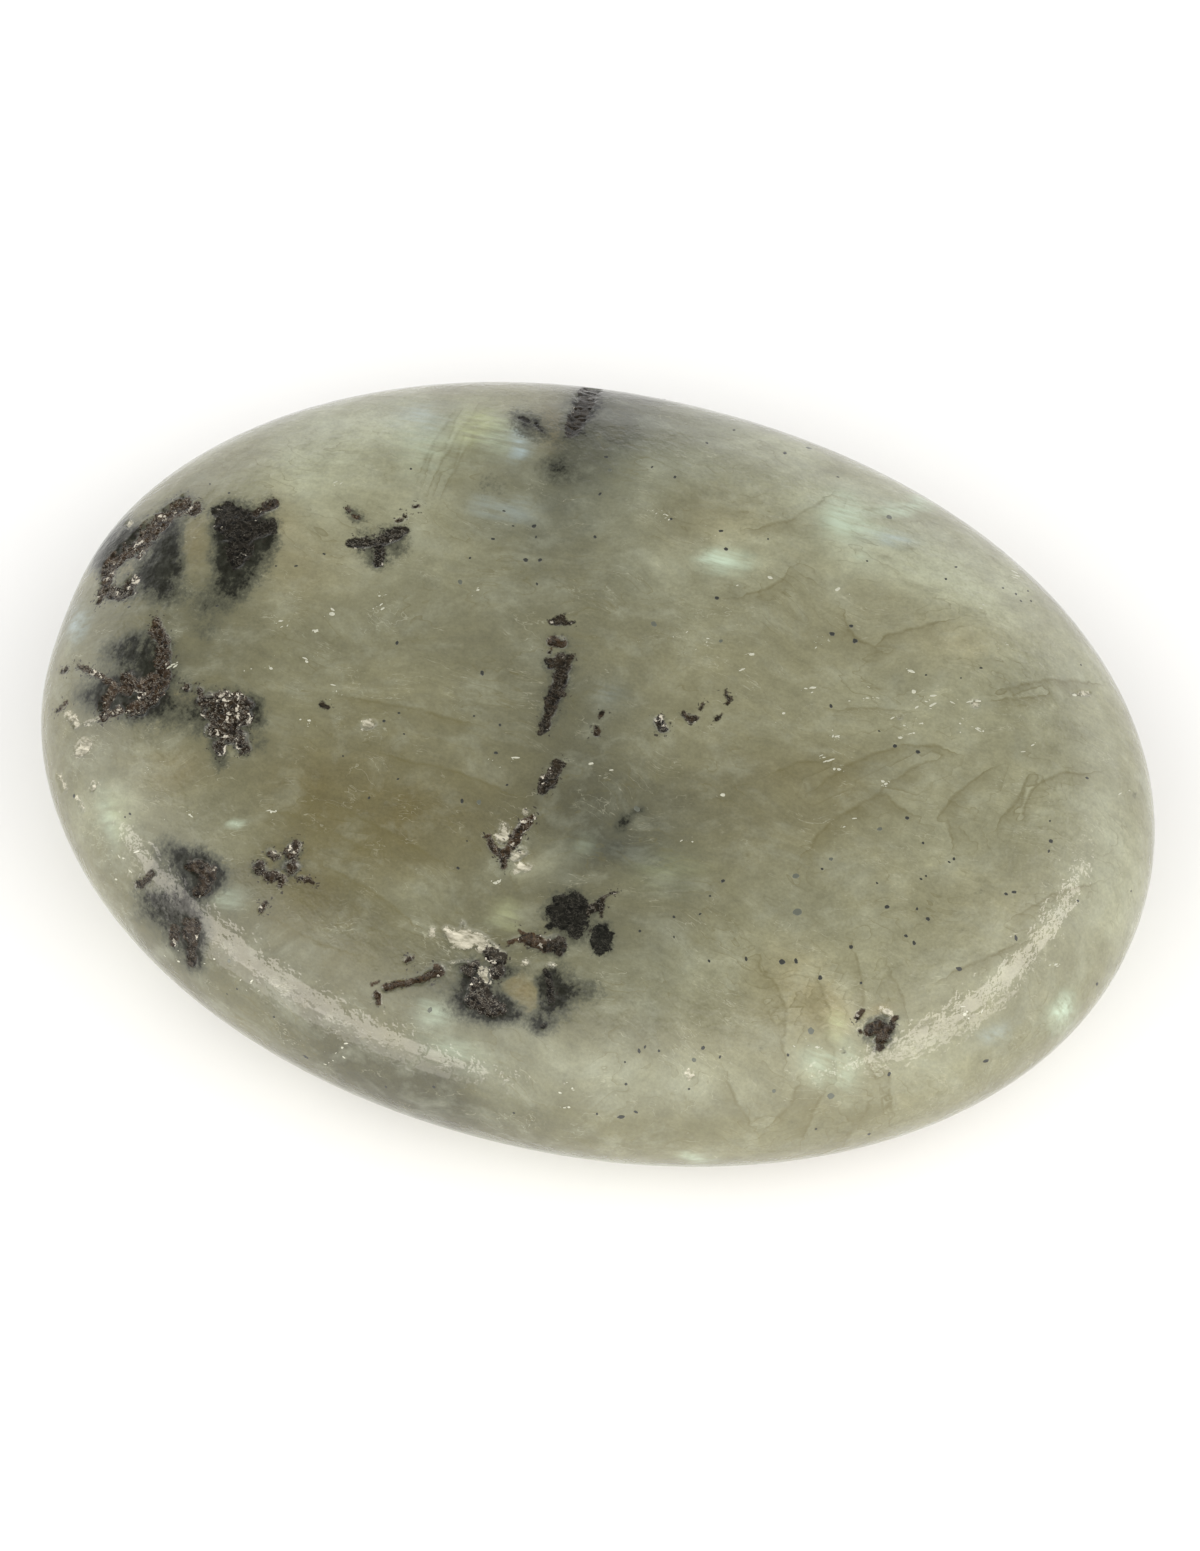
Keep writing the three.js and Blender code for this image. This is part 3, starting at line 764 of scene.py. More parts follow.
FLASHES = [
    (843, 516, 20, 19, -30, 0.75), (905, 507, 32, 7, -8, 0.7), (866, 531, 16, 7, 10, 0.6),
    (720, 562, 19, 8, 0, 0.95), (746, 566, 12, 6, 0, 0.4), (860, 557, 9, 7, 0, 0.3),
    (497, 437, 15, 14, 0, 0.5), (430, 450, 30, 22, 0, 0.3), (1061, 1011, 10, 17, 20, 1.0),
    (817, 1064, 16, 18, 0, 0.4), (847, 1066, 12, 26, 0, 0.4), (109, 817, 10, 27, -5, 0.35),
    (237, 824, 11, 3, -20, 0.6), (231, 900, 15, 11, 0, 0.3), (434, 1011, 18, 11, 0, 0.45),
    (455, 1048, 30, 12, 20, 0.35), (583, 847, 9, 8, 0, 0.2), (694, 1158, 16, 4, 5, 0.5),
]
BLUE_FLASHES = [
    (520, 443, 10, 16, 0, 0.8), (893, 541, 26, 7, 5, 0.5), (420, 418, 26, 16, 0, 0.4),
    (77, 624, 8, 16, 15, 0.6), (994, 1031, 18, 8, -20, 0.3), (517, 509, 20, 14, 0, 0.3),
    (483, 506, 18, 12, 0, 0.25), (612, 697, 16, 14, 0, 0.12),
]
GREEN_FLASHES = [
    (474, 424, 24, 18, -20, 0.6), (506, 917, 14, 13, 0, 0.32), (835, 1026, 10, 14, 0, 0.5),
    (668, 872, 32, 18, 0, 0.2), (120, 820, 10, 24, -10, 0.2),
]
DABS = {
    "shade": SHADES,
    "deep": DARK_TONE_AND_SHADE,
    "olive": OLIVE,
    "cool": COOL,
    "pale": PALE_TONE_AND_LIGHT,
    "tan": TAN,
    "flash": FLASHES,
    "blue_flash": BLUE_FLASHES,
    "green_flash": GREEN_FLASHES,
}
print("dabs:", {name: len(dabs) for name, dabs in DABS.items()})

# %% [markdown]
# ## Putting the dabs on the stone
# A dab has a smooth round edge, and nothing that grew in rock has one. So every point is shifted by
# slow noise before it is measured: clouds by a lot, and the smaller marks by a little. The side that
# the photograph doesn't show gets clouds of the same kind from noise alone.

# %% Measure the dabs
CLOUDS = ("deep", "olive", "cool", "pale")
CLOUD_SHIFTS = ((7.0, 45), (2.5, 22), (1.0, 8))
MARK_SHIFTS = ((1.2, 6), (0.5, 3))
EDGE_ON = 0.15
HIDDEN_CLOUD = 8


def ragged_shift(points, sizes_and_pixels):
    """A smooth random shift for each point, in pixels, from noises of these sizes in mm."""
    shift = np.zeros((len(points), 2))
    for size, pixels in sizes_and_pixels:
        found = [noise.noise_vector(Vector(point) / size)[:2] for point in points]
        shift += pixels * np.array(found)
    return shift


def dabs_on(surface, dabs, shift):
    """The dabs' summed strength on each vertex."""
    total = np.zeros(len(surface["points"]))
    seen = np.clip(surface["facing"] / EDGE_ON, 0, 1)
    for x, y, half_width, half_height, turn, strength in dabs:
        across, down = (surface["pixels"] + shift - [x, y]).T
        cos, sin = math.cos(math.radians(turn)), math.sin(math.radians(turn))
        along = (across * cos + down * sin) / half_width
        beside = (down * cos - across * sin) / half_height
        total += strength * np.exp(-(along**2 + beside**2)) * seen
    return total


cloud_shift = ragged_shift(surface["points"], CLOUD_SHIFTS)
mark_shift = ragged_shift(surface["points"], MARK_SHIFTS)
soft = {}
for name, dabs in DABS.items():
    soft[name] = dabs_on(surface, dabs, cloud_shift if name in CLOUDS else mark_shift)
hidden = np.clip((0.45 - surface["facing"]) / 0.6, 0, 1)
hidden_clouds = [noise.noise_vector(Vector(point) / HIDDEN_CLOUD) for point in surface["points"]]
for name, cloud in zip(("olive", "cool", "pale"), np.array(hidden_clouds).T):
    soft[name] += hidden * np.clip(1.6 * cloud + 0.1, 0, 0.8)
# The side turned from the camera is also made a little darker all over.
soft["deep"] += 0.12 * hidden
print("strongest:", {name: round(float(field.max()), 2) for name, field in soft.items()})

# %% [markdown]
# ## Chips, veins and a halo round each clot
# Chips and veins are kept as distances, as clots are. A clot goes on below the skin, wider than it is
# at the top, so a little shade is added all round it, more for a wide clot than for a thin string.

# %% Add the lines and the halo
HALO_STRENGTH = 0.36
HALO_SIZE = 0.32
HALO_REACH = 2
WIDE_BRUSH = 0.3
soft["chip"] = chips_on(surface)
soft["vein_side"], soft["vein_near"] = veins_on(surface)
halo = HALO_STRENGTH * np.exp(-np.maximum(clots["reach"], 0) / HALO_SIZE)
halo = halo * np.clip(clots["brush"] / WIDE_BRUSH, 0.2, 1)
soft["shade"] += np.where(clots["reach"] < HALO_REACH, halo, 0)
print("darkest shade:", round(float(soft["shade"].max()), 2))

# %% [markdown]
# ## Relief in the broken places
# Where the grains were plucked the surface is lower and made of small tilted faces. Each vertex there
# goes down by its depth inside the clot, and by the tilt of the crystal it belongs to. A crystal is a
# cell of a Voronoi pattern, which splits space into blocks as crowded grains do.

# %% Sink and break the clots
PIT_DEPTH = 0.22
CRYSTAL = 0.22
TILT = 0.35
CHIP_DEPTH = 0.05


def crystal_height(point, size):
    """Height of a broken crystal face at a point, in mm."""
    _, centres = noise.voronoi(Vector(point) / size)
    lean = noise.cell_vector(centres[0] * 7.3) * 2 - Vector((1, 1, 1))
    return (Vector(point) / size - centres[0]).dot(lean) * size * TILT + 0.25 * size * lean.x


def relief_on(surface, clots, chips):
    """How far each vertex moves along its normal, in mm."""
    points = surface["points"]
    moved = np.zeros(len(points))
    touched = np.flatnonzero((clots["reach"] < 0.1) | (chips < 0.05))
    for index in touched:
        point = points[index]
        ragged = 0.5 * noise.noise(Vector(point) / 0.35) * clots["brush"][index]
        inside = np.clip((-clots["reach"][index] + ragged + 0.02) / 0.12, 0, 1)
        broken = crystal_height(point, CRYSTAL) * clots["broken"][index]
        depth = PIT_DEPTH * min(1.0, clots["brush"][index] / WIDE_BRUSH) * clots["broken"][index]
        moved[index] = -inside * (depth - broken)
        chipped = np.clip((-chips[index] + 0.03) / 0.08, 0, 1) * (1 - inside)
        moved[index] -= chipped * (CHIP_DEPTH + 0.6 * abs(crystal_height(point, CRYSTAL * 1.5)))
    return moved


clots["broken"] = 0.1 + 0.9 * np.maximum(clots["glint"], clots["brown"])
relief = relief_on(surface, clots, soft["chip"])
normals = np.empty(len(stone.data.vertices) * 3)
stone.data.vertices.foreach_get("normal", normals)
set_points(stone, surface["points"] + normals.reshape(-1, 3) * relief[:, None])
print("deepest pit, mm:", round(float(relief.min()), 3), "highest crystal:", round(float(relief.max()), 3))

# %% [markdown]
# ## Marks kept on the mesh
# A painted image would tie the colours to its pixels. A number kept on each vertex is read by name in
# the material instead, moves with the mesh, and stays smooth from vertex to vertex.

# %% Keep the marks on the stone's vertices
DEEPEST_REACH = 2


def keep_mark(piece, name, values):
    """Stores one number on each vertex, for the material to read by name."""
    mark = piece.data.attributes.new(name, "FLOAT", "POINT")
    mark.data.foreach_set("value", np.asarray(values, np.float32))


for name, values in soft.items():
    keep_mark(stone, name, values)
keep_mark(stone, "clot", np.clip(clots["reach"], -DEEPEST_REACH, DEEPEST_REACH))
keep_mark(stone, "clot_brush", clots["brush"])
keep_mark(stone, "clot_brown", clots["brown"])
keep_mark(stone, "clot_glint", clots["glint"])
print("marks:", sorted(a.name for a in stone.data.attributes if a.data_type == "FLOAT"))

# %% [markdown]
# ## Taking the plain stone's place
# The finished mesh takes the place of the frame's plain stone, and rides on the frame's only body. It
# is smooth-shaded, because a polished stone shows no facets.

# %% Fix the stone to the frame
bpy.ops.object.select_all(action="DESELECT")
stone.select_set(True)
bpy.context.view_layer.objects.active = stone
bpy.ops.object.shade_smooth()
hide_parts("stone")
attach(stone, "root")
print("stone, mm:", [round(v * 1000, 2) for v in stone.dimensions])

# %% [markdown]
# ## Two helpers for materials
# Colours are read as sRGB hex values, but Blender's sockets take linear numbers. And a node is always
# added in the same way, whatever its kind: make it, set it, link it.

# %% Name colours and add nodes


def linear(hex_colour, alpha=1.0):
    """An sRGB hex colour as the linear numbers that Blender's sockets take."""
    shares = [int(hex_colour[i : i + 2], 16) / 255 for i in (1, 3, 5)]
    return (*[s / 12.92 if s <= 0.04045 else ((s + 0.055) / 1.055) ** 2.4 for s in shares], alpha)


def add_node(tree, kind, inputs=(), out=0, **settings):
    """Adds a node with its settings and links, and returns one of its output sockets."""
    node = tree.nodes.new("ShaderNode" + kind)
    for name, value in settings.items():
        setattr(node, name, value)
    named = inputs if isinstance(inputs, dict) else dict(enumerate(inputs))
    for socket, value in named.items():
        if isinstance(value, bpy.types.NodeSocket):
            tree.links.new(value, node.inputs[socket])
        else:
            node.inputs[socket].default_value = value
    return node.outputs[out]


print("mid grey in linear numbers:", round(linear("#808080")[0], 3))

# %% [markdown]
# ## A sheet of paper to lie on
# The stone was photographed on white. Matt paper gives it a pale ground with a soft shadow, and
# throws light back up on its sides.

# %% Lay the paper
FLOOR_HALF = 0.6
PAPER_WHITE = "#fbfbfa"
bpy.ops.object.select_all(action="DESELECT")
bpy.ops.mesh.primitive_plane_add(size=2 * FLOOR_HALF, location=(0, 0, 0))
floor = bpy.context.object
floor.name = "studio_floor"
# Matt paper scatters light evenly, so the eye sees no reflection in it.
paper = bpy.data.materials.new("matt white paper")
paper.use_nodes = True
pulp = paper.node_tree.nodes["Principled BSDF"]
pulp.inputs["Base Color"].default_value = linear(PAPER_WHITE)
pulp.inputs["Roughness"].default_value = 0.9
floor.data.materials.append(paper)
bpy.context.scene.view_settings.view_transform = "Standard"
print("paper, mm across:", 2 * FLOOR_HALF / MM)

# %% [markdown]
# ## An even sky with a dark card in it
# An even white sky is the softest light there is, but a polished stone reflects it everywhere, and
# then its black grains look grey. A photographer hangs a dark card where the flat crown reflects it.
# Here a part of the sky, high behind the stone, is dim instead.

# %% Hang the sky
SKY = 1.62
DIM_SKY = 0.3
DIM_TURN = 180
DIM_ELEVATION = 64
DIM_REACH = (0.55, 0.95)


def direction(turn, elevation):
    """Unit vector from the stone, turned from the camera's side by some degrees and raised by some."""
    azimuth, rise = VIEW_AZIMUTH + math.radians(turn), math.radians(elevation)
    return Vector((
        math.sin(azimuth) * math.cos(rise),
        -math.cos(azimuth) * math.cos(rise),
        math.sin(rise),
    ))


world = bpy.data.worlds.new("even studio sky with a dark card behind")
world.use_nodes = True
sky = world.node_tree
sky.nodes["Background"].inputs["Color"].default_value = linear("#ffffff")
sky_way = add_node(sky, "TexCoord", out="Generated")
card_way = (sky_way, direction(DIM_TURN, DIM_ELEVATION))
nearness = add_node(sky, "VectorMath", card_way, out="Value", operation="DOT_PRODUCT")
sky_glow = add_node(
    sky, "MapRange", (nearness, *DIM_REACH, SKY, DIM_SKY), interpolation_type="SMOOTHSTEP"
)
sky.links.new(sky_glow, sky.nodes["Background"].inputs["Strength"])
bpy.context.scene.world = world
print("sky:", SKY, "dim part:", DIM_SKY)

# %% [markdown]
# ## Two strip lamps
# Two soft strips stand low to the left and right of the camera. Their reflections on the near
# shoulder are the two pale bands that show how round it is. Each has a weaker lamp below it, which
# fades the band out towards the rim.

# %% Set the lamps
LAMP_DISTANCE = 0.8
LAMP_COLOUR = "#fff6ec"
LAMPS = {
    "left softbox": (-56, 20, 30, 8, 3.8),
    "left softbox's lower lamp": (-52, 4, 26, 12, 1.6),
    "right softbox": (62, 37, 35, 4.8, 4.4),
    "right softbox's lower lamp": (46, 25.5, 17, 3.2, 3.4),
}


def add_softbox(name, turn, elevation, half_width, half_height, radiance):
    """An oval light that faces the stone; its half-sizes are angles, in degrees, seen from there."""
    towards = direction(turn, elevation)
    bpy.ops.object.light_add(type="AREA", location=towards * LAMP_DISTANCE)
    light = bpy.context.object
    light.name = name
    light.rotation_mode = "QUATERNION"
    light.rotation_quaternion = towards.to_track_quat("Z", "Y")
    light.data.shape = "ELLIPSE"
    light.data.size = 2 * LAMP_DISTANCE * math.tan(math.radians(half_width))
    light.data.size_y = 2 * LAMP_DISTANCE * math.tan(math.radians(half_height))
    light.data.color = linear(LAMP_COLOUR)[:3]
    area = math.pi / 4 * light.data.size * light.data.size_y
    light.data.energy = radiance * math.pi * area


for name, lamp in LAMPS.items():
    add_softbox(name, *lamp)
print("lamps:", len(LAMPS))

# %% [markdown]
# ## Polished labradorite
# Labradorite is a plagioclase feldspar. Polished with fine grit it has a glassy skin, with tiny pits
# left in it, and light goes a few millimetres into the stone before it comes back. That gives the
# eye a soft body with crisp marks in it. One material could be painted by hand, but it would have to
# be painted again for each change. So it is built of nodes that read the marks kept on the vertices,
# laid over each other in the order of their depth: clouds, veins, flashes, shade, chips and grains.

# %% Read the places and the marks
# The finish is feldspar under a fine polish: the eye sees crisp marks through a clear glassy skin.
feldspar = bpy.data.materials.new("polished labradorite")
feldspar.use_nodes = True
tree = feldspar.node_tree
skin = tree.nodes["Principled BSDF"]
in_metres = add_node(tree, "TexCoord", out="Object")
in_mm = add_node(tree, "VectorMath", {0: in_metres, "Scale": 1000.0}, operation="SCALE")
marks = {}
for name in (*soft, "clot", "clot_brush", "clot_brown", "clot_glint"):
    marks[name] = add_node(tree, "Attribute", out="Fac", attribute_name=name)
print("marks read:", len(marks))

# %% [markdown]
# ## Patterns at their real sizes
# What grew in the stone looks random, but each kind of growth has its own size. Noise gives both: its
# scale is one over the size of its largest lumps, so each pattern here starts from a length in
# millimetres. The grit of a real polish is too fine to show, so it is drawn at 0.14 mm. The place is
# pushed about by slow noise first, so that what is drawn on it swirls as the crystals grew.

# %% Make the patterns
DRIFT_SIZE = 9
DRIFT = (5.5, 5.5, 5.5)
CLOUD_SIZE = 4
MOTTLE_SIZE = 0.8
GRIT_SIZE = 0.14
FIBRE_SIZE = 1.0
HALF = (0.5, 0.5, 0.5)


def lumps(place, size, detail=4.0, roughness=0.6):
    """The sockets of a noise whose largest lumps are about this many millimetres across."""
    return {"Vector": place, "Scale": 1 / size, "Detail": detail, "Roughness": roughness}


def laid(place, turn, squeeze):
    """The sockets that turn a place about the upright axis by some degrees and squeeze it."""
    return {"Vector": place, "Rotation": (0, 0, math.radians(turn)), "Scale": squeeze}


drift = add_node(tree, "TexNoise", lumps(in_mm, DRIFT_SIZE, detail=2.0), out="Color")
drift = add_node(tree, "VectorMath", (drift, HALF), operation="SUBTRACT")
flowing = add_node(tree, "VectorMath", (drift, DRIFT, in_mm), operation="MULTIPLY_ADD")
clouds = add_node(tree, "TexNoise", lumps(flowing, CLOUD_SIZE, detail=5.0))
mottle = add_node(tree, "TexNoise", lumps(in_mm, MOTTLE_SIZE, detail=5.0, roughness=0.65))
grit = add_node(tree, "TexNoise", lumps(in_mm, GRIT_SIZE, detail=1.0))
along_fibres = add_node(tree, "Mapping", laid(flowing, -16, (0.6, 1.9, 1.3)))
fibres = add_node(tree, "TexNoise", lumps(along_fibres, FIBRE_SIZE, detail=5.0, roughness=0.68))
print("patterns, mm:", DRIFT_SIZE, CLOUD_SIZE, FIBRE_SIZE, MOTTLE_SIZE, GRIT_SIZE)

# %% [markdown]
# ## Clouds of colour
# The feldspar is grey-green. It is olive where it is weathered, cooler grey where it is clear, and
# paler or tan where it is turbid. The pale dabs also hold painted light where the stone looks brighter
# towards its rims. Each cloud was dabbed on with soft edges, and noise makes its edge uneven here.
# The deep dabs keep the colour but darken it, partly the stone's darker tone and partly painted shade,
# so they are scaled down last.

# %% Lay the clouds
GREY_GREEN = "#7c7a60"
# The pale cloud colour also carries painted light near the rims.
CLOUD_COLOURS = {"olive": "#5f583a", "cool": "#535549", "pale": "#9c9e86", "tan": "#8a7e58"}
DARKEST_TONE_AND_SHADE = 0.35


def lay_over(under, *layers):
    """Lays colours over what is under them in turn, each as (how much of it shows, its colour)."""
    for amount, colour in layers:
        colour = linear(colour) if isinstance(colour, str) else colour
        under = add_node(tree, "Mix", {0: amount, 6: under, 7: colour}, out=2, data_type="RGBA")
    return under


body = linear(GREY_GREEN)
cloud_edge = add_node(tree, "Math", (clouds, 1.6, 0.2), operation="MULTIPLY_ADD")
for name, colour in CLOUD_COLOURS.items():
    amount = add_node(tree, "Math", (marks[name], cloud_edge), operation="MULTIPLY", use_clamp=True)
    body = lay_over(body, (amount, colour))
# Painted shade, partly the stone's darker tone: the body colour is scaled down where the deep dabs lie.
tone_and_shade_dimming = add_node(tree, "MapRange", (marks["deep"], 0.0, 1.0, 1.0, DARKEST_TONE_AND_SHADE))
body = add_node(tree, "VectorMath", {0: body, "Scale": tone_and_shade_dimming}, operation="SCALE")
print("clouds:", list(CLOUD_COLOURS))

# %% [markdown]
# ## Folds
# Folds in the stone end in a thin olive line that is crisp on one side and fades on the other. They
# could be drawn one by one, but there are hundreds. The fraction of a slow noise jumps at each whole
# number and climbs slowly between them, so it draws just such lines. Fibres tear them here and there.

# %% Shape the folds
FOLD_SHADE = "#5e5838"
FOLD_SIZE = 4.2
FOLD_COUNT = 14.0
fold_bed = add_node(tree, "Mapping", laid(flowing, -14, (0.6, 1.4, 1.0)))
fold_bed = add_node(tree, "TexNoise", lumps(fold_bed, FOLD_SIZE, roughness=0.5))
fold_step = add_node(tree, "Math", (fold_bed, FOLD_COUNT), operation="MULTIPLY")
fold_step = add_node(tree, "Math", (fold_step,), operation="FRACT")
fold_here = add_node(tree, "TexNoise", lumps(in_mm, 3.0, detail=3.0))
fold_here = add_node(tree, "MapRange", (fold_here, 0.44, 0.6, 0.0, 1.0))
fold_torn = add_node(tree, "MapRange", (fibres, 0.32, 0.6, 0.3, 1.25))
fold_here = add_node(tree, "Math", (fold_here, fold_torn), operation="MULTIPLY")
fold_dark = add_node(tree, "MapRange", (fold_step, 0.0, 0.3, 0.2, 0.0))
fold_dark = add_node(tree, "Math", (fold_dark, fold_here), operation="MULTIPLY")
fold_line = add_node(tree, "MapRange", (fold_step, 0.0, 0.1, 0.34, 0.0))
fold_line = add_node(tree, "Math", (fold_line, fold_here), operation="MULTIPLY")
print("folds for each step of the noise:", FOLD_COUNT)

# %% [markdown]
# ## Milk, fibres and mottling
# Close up, the stone is never one flat colour. It is milky in places and clear in others, fibres run
# through it, and everything is mottled. Each pattern makes the body a little darker and lighter by
# turns. Four small swings at four sizes look more like stone than one large swing does.

# %% Mottle the body
MILKY = "#9fa391"
CLEAR = "#5d5a3c"
SWINGS = ((clouds, 0.15, 0.08), (fibres, 0.15, 0.06), (mottle, 0.2, 0.1), (grit, 0.2, 0.07))
milk = add_node(tree, "Mapping", laid(flowing, -30, (1.0, 1.35, 1.2)))
milk = add_node(tree, "TexNoise", lumps(milk, 1.9, detail=5.0, roughness=0.62))
milky = add_node(tree, "MapRange", (milk, 0.5, 0.7, 0.0, 0.24))
clear = add_node(tree, "MapRange", (milk, 0.3, 0.5, 0.24, 0.0))
body = lay_over(body, (milky, MILKY), (clear, CLEAR))
for pattern, spread, swing in SWINGS:
    swung = add_node(tree, "MapRange", (pattern, 0.5 - spread, 0.5 + spread, 1 - swing, 1 + swing))
    body = add_node(tree, "VectorMath", {0: body, "Scale": swung}, operation="SCALE")
body = lay_over(body, (fold_dark, FOLD_SHADE), (fold_line, FOLD_SHADE))
print("swings:", [swing for _, _, swing in SWINGS])

# %% [markdown]
# ## Hairlines
# Hair-thin pale cracks run across the fibres. A noise crosses its middle value along thin curved
# lines, so a narrow band about 0.5 draws them without one being placed by hand.

# %% Scratch the hairlines
HAIRLINE = "#b3b29c"
HAIR_WIDTH = 0.009
hairs = add_node(tree, "Mapping", laid(flowing, 40, (0.6, 2.6, 1.5)))
hairs = add_node(tree, "TexNoise", lumps(hairs, 1.5, detail=3.0))
hairs = add_node(tree, "Math", (hairs, 0.5), operation="SUBTRACT")
hairs = add_node(tree, "Math", (hairs,), operation="ABSOLUTE")
hairs = add_node(tree, "MapRange", (hairs, 0.0, HAIR_WIDTH, 0.36, 0.0))
hairs_here = add_node(tree, "TexNoise", lumps(in_mm, 2.0))
hairs_here = add_node(tree, "MapRange", (hairs_here, 0.5, 0.6, 0.0, 1.0))
hairs = add_node(tree, "Math", (hairs, hairs_here), operation="MULTIPLY")
body = lay_over(body, (hairs, HAIRLINE))
print("hairline:", HAIRLINE)

# %% [markdown]
# ## Veins
# The strongest seams were drawn one by one as lines with a side. A vein is darkest on the line itself
# and throws a soft shade to its left, where it dips under the skin. Mottling makes it wobble, and
# fibres break it up, so that no vein looks ruled.

# %% Draw the veins
VEIN_WIDTH = 0.16
VEIN_DIP = 0.75
wobble = add_node(tree, "Math", (mottle, 0.5, -0.25), operation="MULTIPLY_ADD")
vein_side = add_node(tree, "Math", (marks["vein_side"], wobble), operation="ADD")
vein_line = add_node(tree, "Math", (vein_side,), operation="ABSOLUTE")
vein_line = add_node(
    tree, "MapRange", (vein_line, 0.0, VEIN_WIDTH, 0.52, 0.0), interpolation_type="SMOOTHSTEP"
)
on_left = add_node(tree, "MapRange", (vein_side, -0.05, 0.05, 0.0, 1.0))
vein_dip = add_node(tree, "MapRange", (vein_side, 0.0, VEIN_DIP, 0.36, 0.0))
vein_dip = add_node(tree, "Math", (on_left, vein_dip), operation="MULTIPLY")
vein = add_node(tree, "Math", (vein_line, vein_dip), operation="MAXIMUM")
vein_near = add_node(tree, "MapRange", (marks["vein_near"], 0.5, 1.4, 1.0, 0.0))
vein_torn = add_node(tree, "MapRange", (fibres, 0.3, 0.6, 0.45, 1.25))
for share in (vein_near, vein_torn):
    vein = add_node(tree, "Math", (vein, share), operation="MULTIPLY")
body = lay_over(body, (vein, FOLD_SHADE))
print("vein, mm:", VEIN_WIDTH)

# %% [markdown]
# ## Flashes
# Thin layers in labradorite throw back blue, green and white light, and only from some angles. A
# colour that follows the eye can't be kept in a model that is seen from all sides, so the flashes
# stay, as pale streaks of colour where they were seen.

# %% Lay the flashes
FLASH_COLOURS = {"flash": "#b6c6b0", "blue_flash": "#a1b2b4", "green_flash": "#b4bb8f"}
streaks = add_node(tree, "Mapping", laid(in_mm, 8, (0.5, 3.2, 1.5)))
streaks = add_node(tree, "TexNoise", lumps(streaks, 1.0))
streaks = add_node(tree, "MapRange", (streaks, 0.36, 0.6, 0.35, 1.1))
for name, colour in FLASH_COLOURS.items():
    amount = add_node(tree, "Math", (marks[name], streaks), operation="MULTIPLY", use_clamp=True)
    body = lay_over(body, (amount, colour))
print("flashes:", list(FLASH_COLOURS))

# %% [markdown]
# ## Shade below the skin
# Dark grains below the skin show as blue-grey shade, dotted where single needles come near the top.
# The marks say where the shade is, a fine noise stands for the needles, and two soft steps give it a
# grey rim and a black core.

# %% Sink the shade
SHADE_RIM = "#494a3d"
SHADE_DEEP = "#15150f"
SHADE_THIN = "#292a22"
NEEDLE_SIZE = 0.6
needles = add_node(tree, "Mapping", laid(in_mm, 12, (1.6, 1.2, 1.3)))
needles = add_node(tree, "TexNoise", lumps(needles, NEEDLE_SIZE, detail=5.0, roughness=0.72))
needle_share = add_node(tree, "MapRange", (needles, 0.3, 0.7, 0.5, 1.5))
shade = add_node(tree, "Math", (marks["shade"], needle_share), operation="MULTIPLY")
shade_grit = add_node(tree, "MapRange", (grit, 0.3, 0.7, -0.1, 0.1))
shade = add_node(tree, "Math", (shade, shade_grit), operation="ADD")
rim = add_node(tree, "MapRange", (shade, 0.08, 0.5, 0.0, 0.85), interpolation_type="SMOOTHSTEP")
core = add_node(tree, "MapRange", (shade, 0.4, 0.95, 0.0, 0.95), interpolation_type="SMOOTHSTEP")
thin = add_node(tree, "MapRange", (needles, 0.38, 0.62, 1.0, 0.0))
core_colour = lay_over(linear(SHADE_DEEP), (thin, SHADE_THIN))
body = lay_over(body, (rim, SHADE_RIM), (core, core_colour))
print("needles, mm:", NEEDLE_SIZE)

# %% [markdown]
# ## Chips
# Where feldspar chips, it splits into thin sheets along its cleavage, and air between them makes it
# pale. Squeezed noise draws the sheets, and a coarser noise breaks the chip's outline.

# %% Break the chips
CHIP_DULL = "#77735f"
CHIP_PALE = "#cfcab6"
chip_edge = add_node(tree, "TexNoise", lumps(in_mm, 0.5, detail=5.0, roughness=0.75))
chip_edge = add_node(tree, "Math", (chip_edge, 1.3, -0.6), operation="MULTIPLY_ADD")
chip = add_node(tree, "Math", (chip_edge, marks["chip"]), operation="ADD")
chip = add_node(tree, "MapRange", (chip, -0.06, 0.03, 0.78, 0.0))
sheets = add_node(tree, "Mapping", laid(in_mm, 25, (0.7, 3.0, 2.0)))
sheets = add_node(tree, "TexNoise", lumps(sheets, 0.5))
sheets = add_node(tree, "MapRange", (sheets, 0.35, 0.62, 0.0, 1.0))
chip_colour = lay_over(linear(CHIP_DULL), (sheets, CHIP_PALE))
body = lay_over(body, (chip, chip_colour))
print("chips:", len(CHIPS))

# %% [markdown]
# ## The dark grains' outline
# A clot's brush strokes are too smooth for broken crystals. Two noises shift its edge, one finer than
# the brush and one coarser, and by a share of the brush's radius, so that a thin string isn't cut
# through and a wide clot isn't round.

# %% Cut the dark grains' outline
ragged = add_node(tree, "TexNoise", lumps(in_mm, 0.45, detail=5.0, roughness=0.7))
ragged = add_node(tree, "Math", (ragged, 0.5), operation="SUBTRACT")
ragged_reach = add_node(tree, "Math", (marks["clot_brush"], 1.5, 0.3), operation="MULTIPLY_ADD")
ragged = add_node(tree, "Math", (ragged, ragged_reach), operation="MULTIPLY")
lumpy = add_node(tree, "TexNoise", lumps(in_mm, 1.2, detail=2.0))
lumpy = add_node(tree, "Math", (lumpy, 0.5), operation="SUBTRACT")
lumpy_reach = add_node(tree, "Math", (marks["clot_brush"], 1.6), operation="MULTIPLY")
lumpy = add_node(tree, "Math", (lumpy, lumpy_reach), operation="MULTIPLY")
edge = add_node(tree, "Math", (ragged, lumpy), operation="ADD")
edge = add_node(tree, "Math", (edge, marks["clot"]), operation="ADD")
clot = add_node(tree, "MapRange", (edge, -0.04, 0.03, 0.97, 0.0))
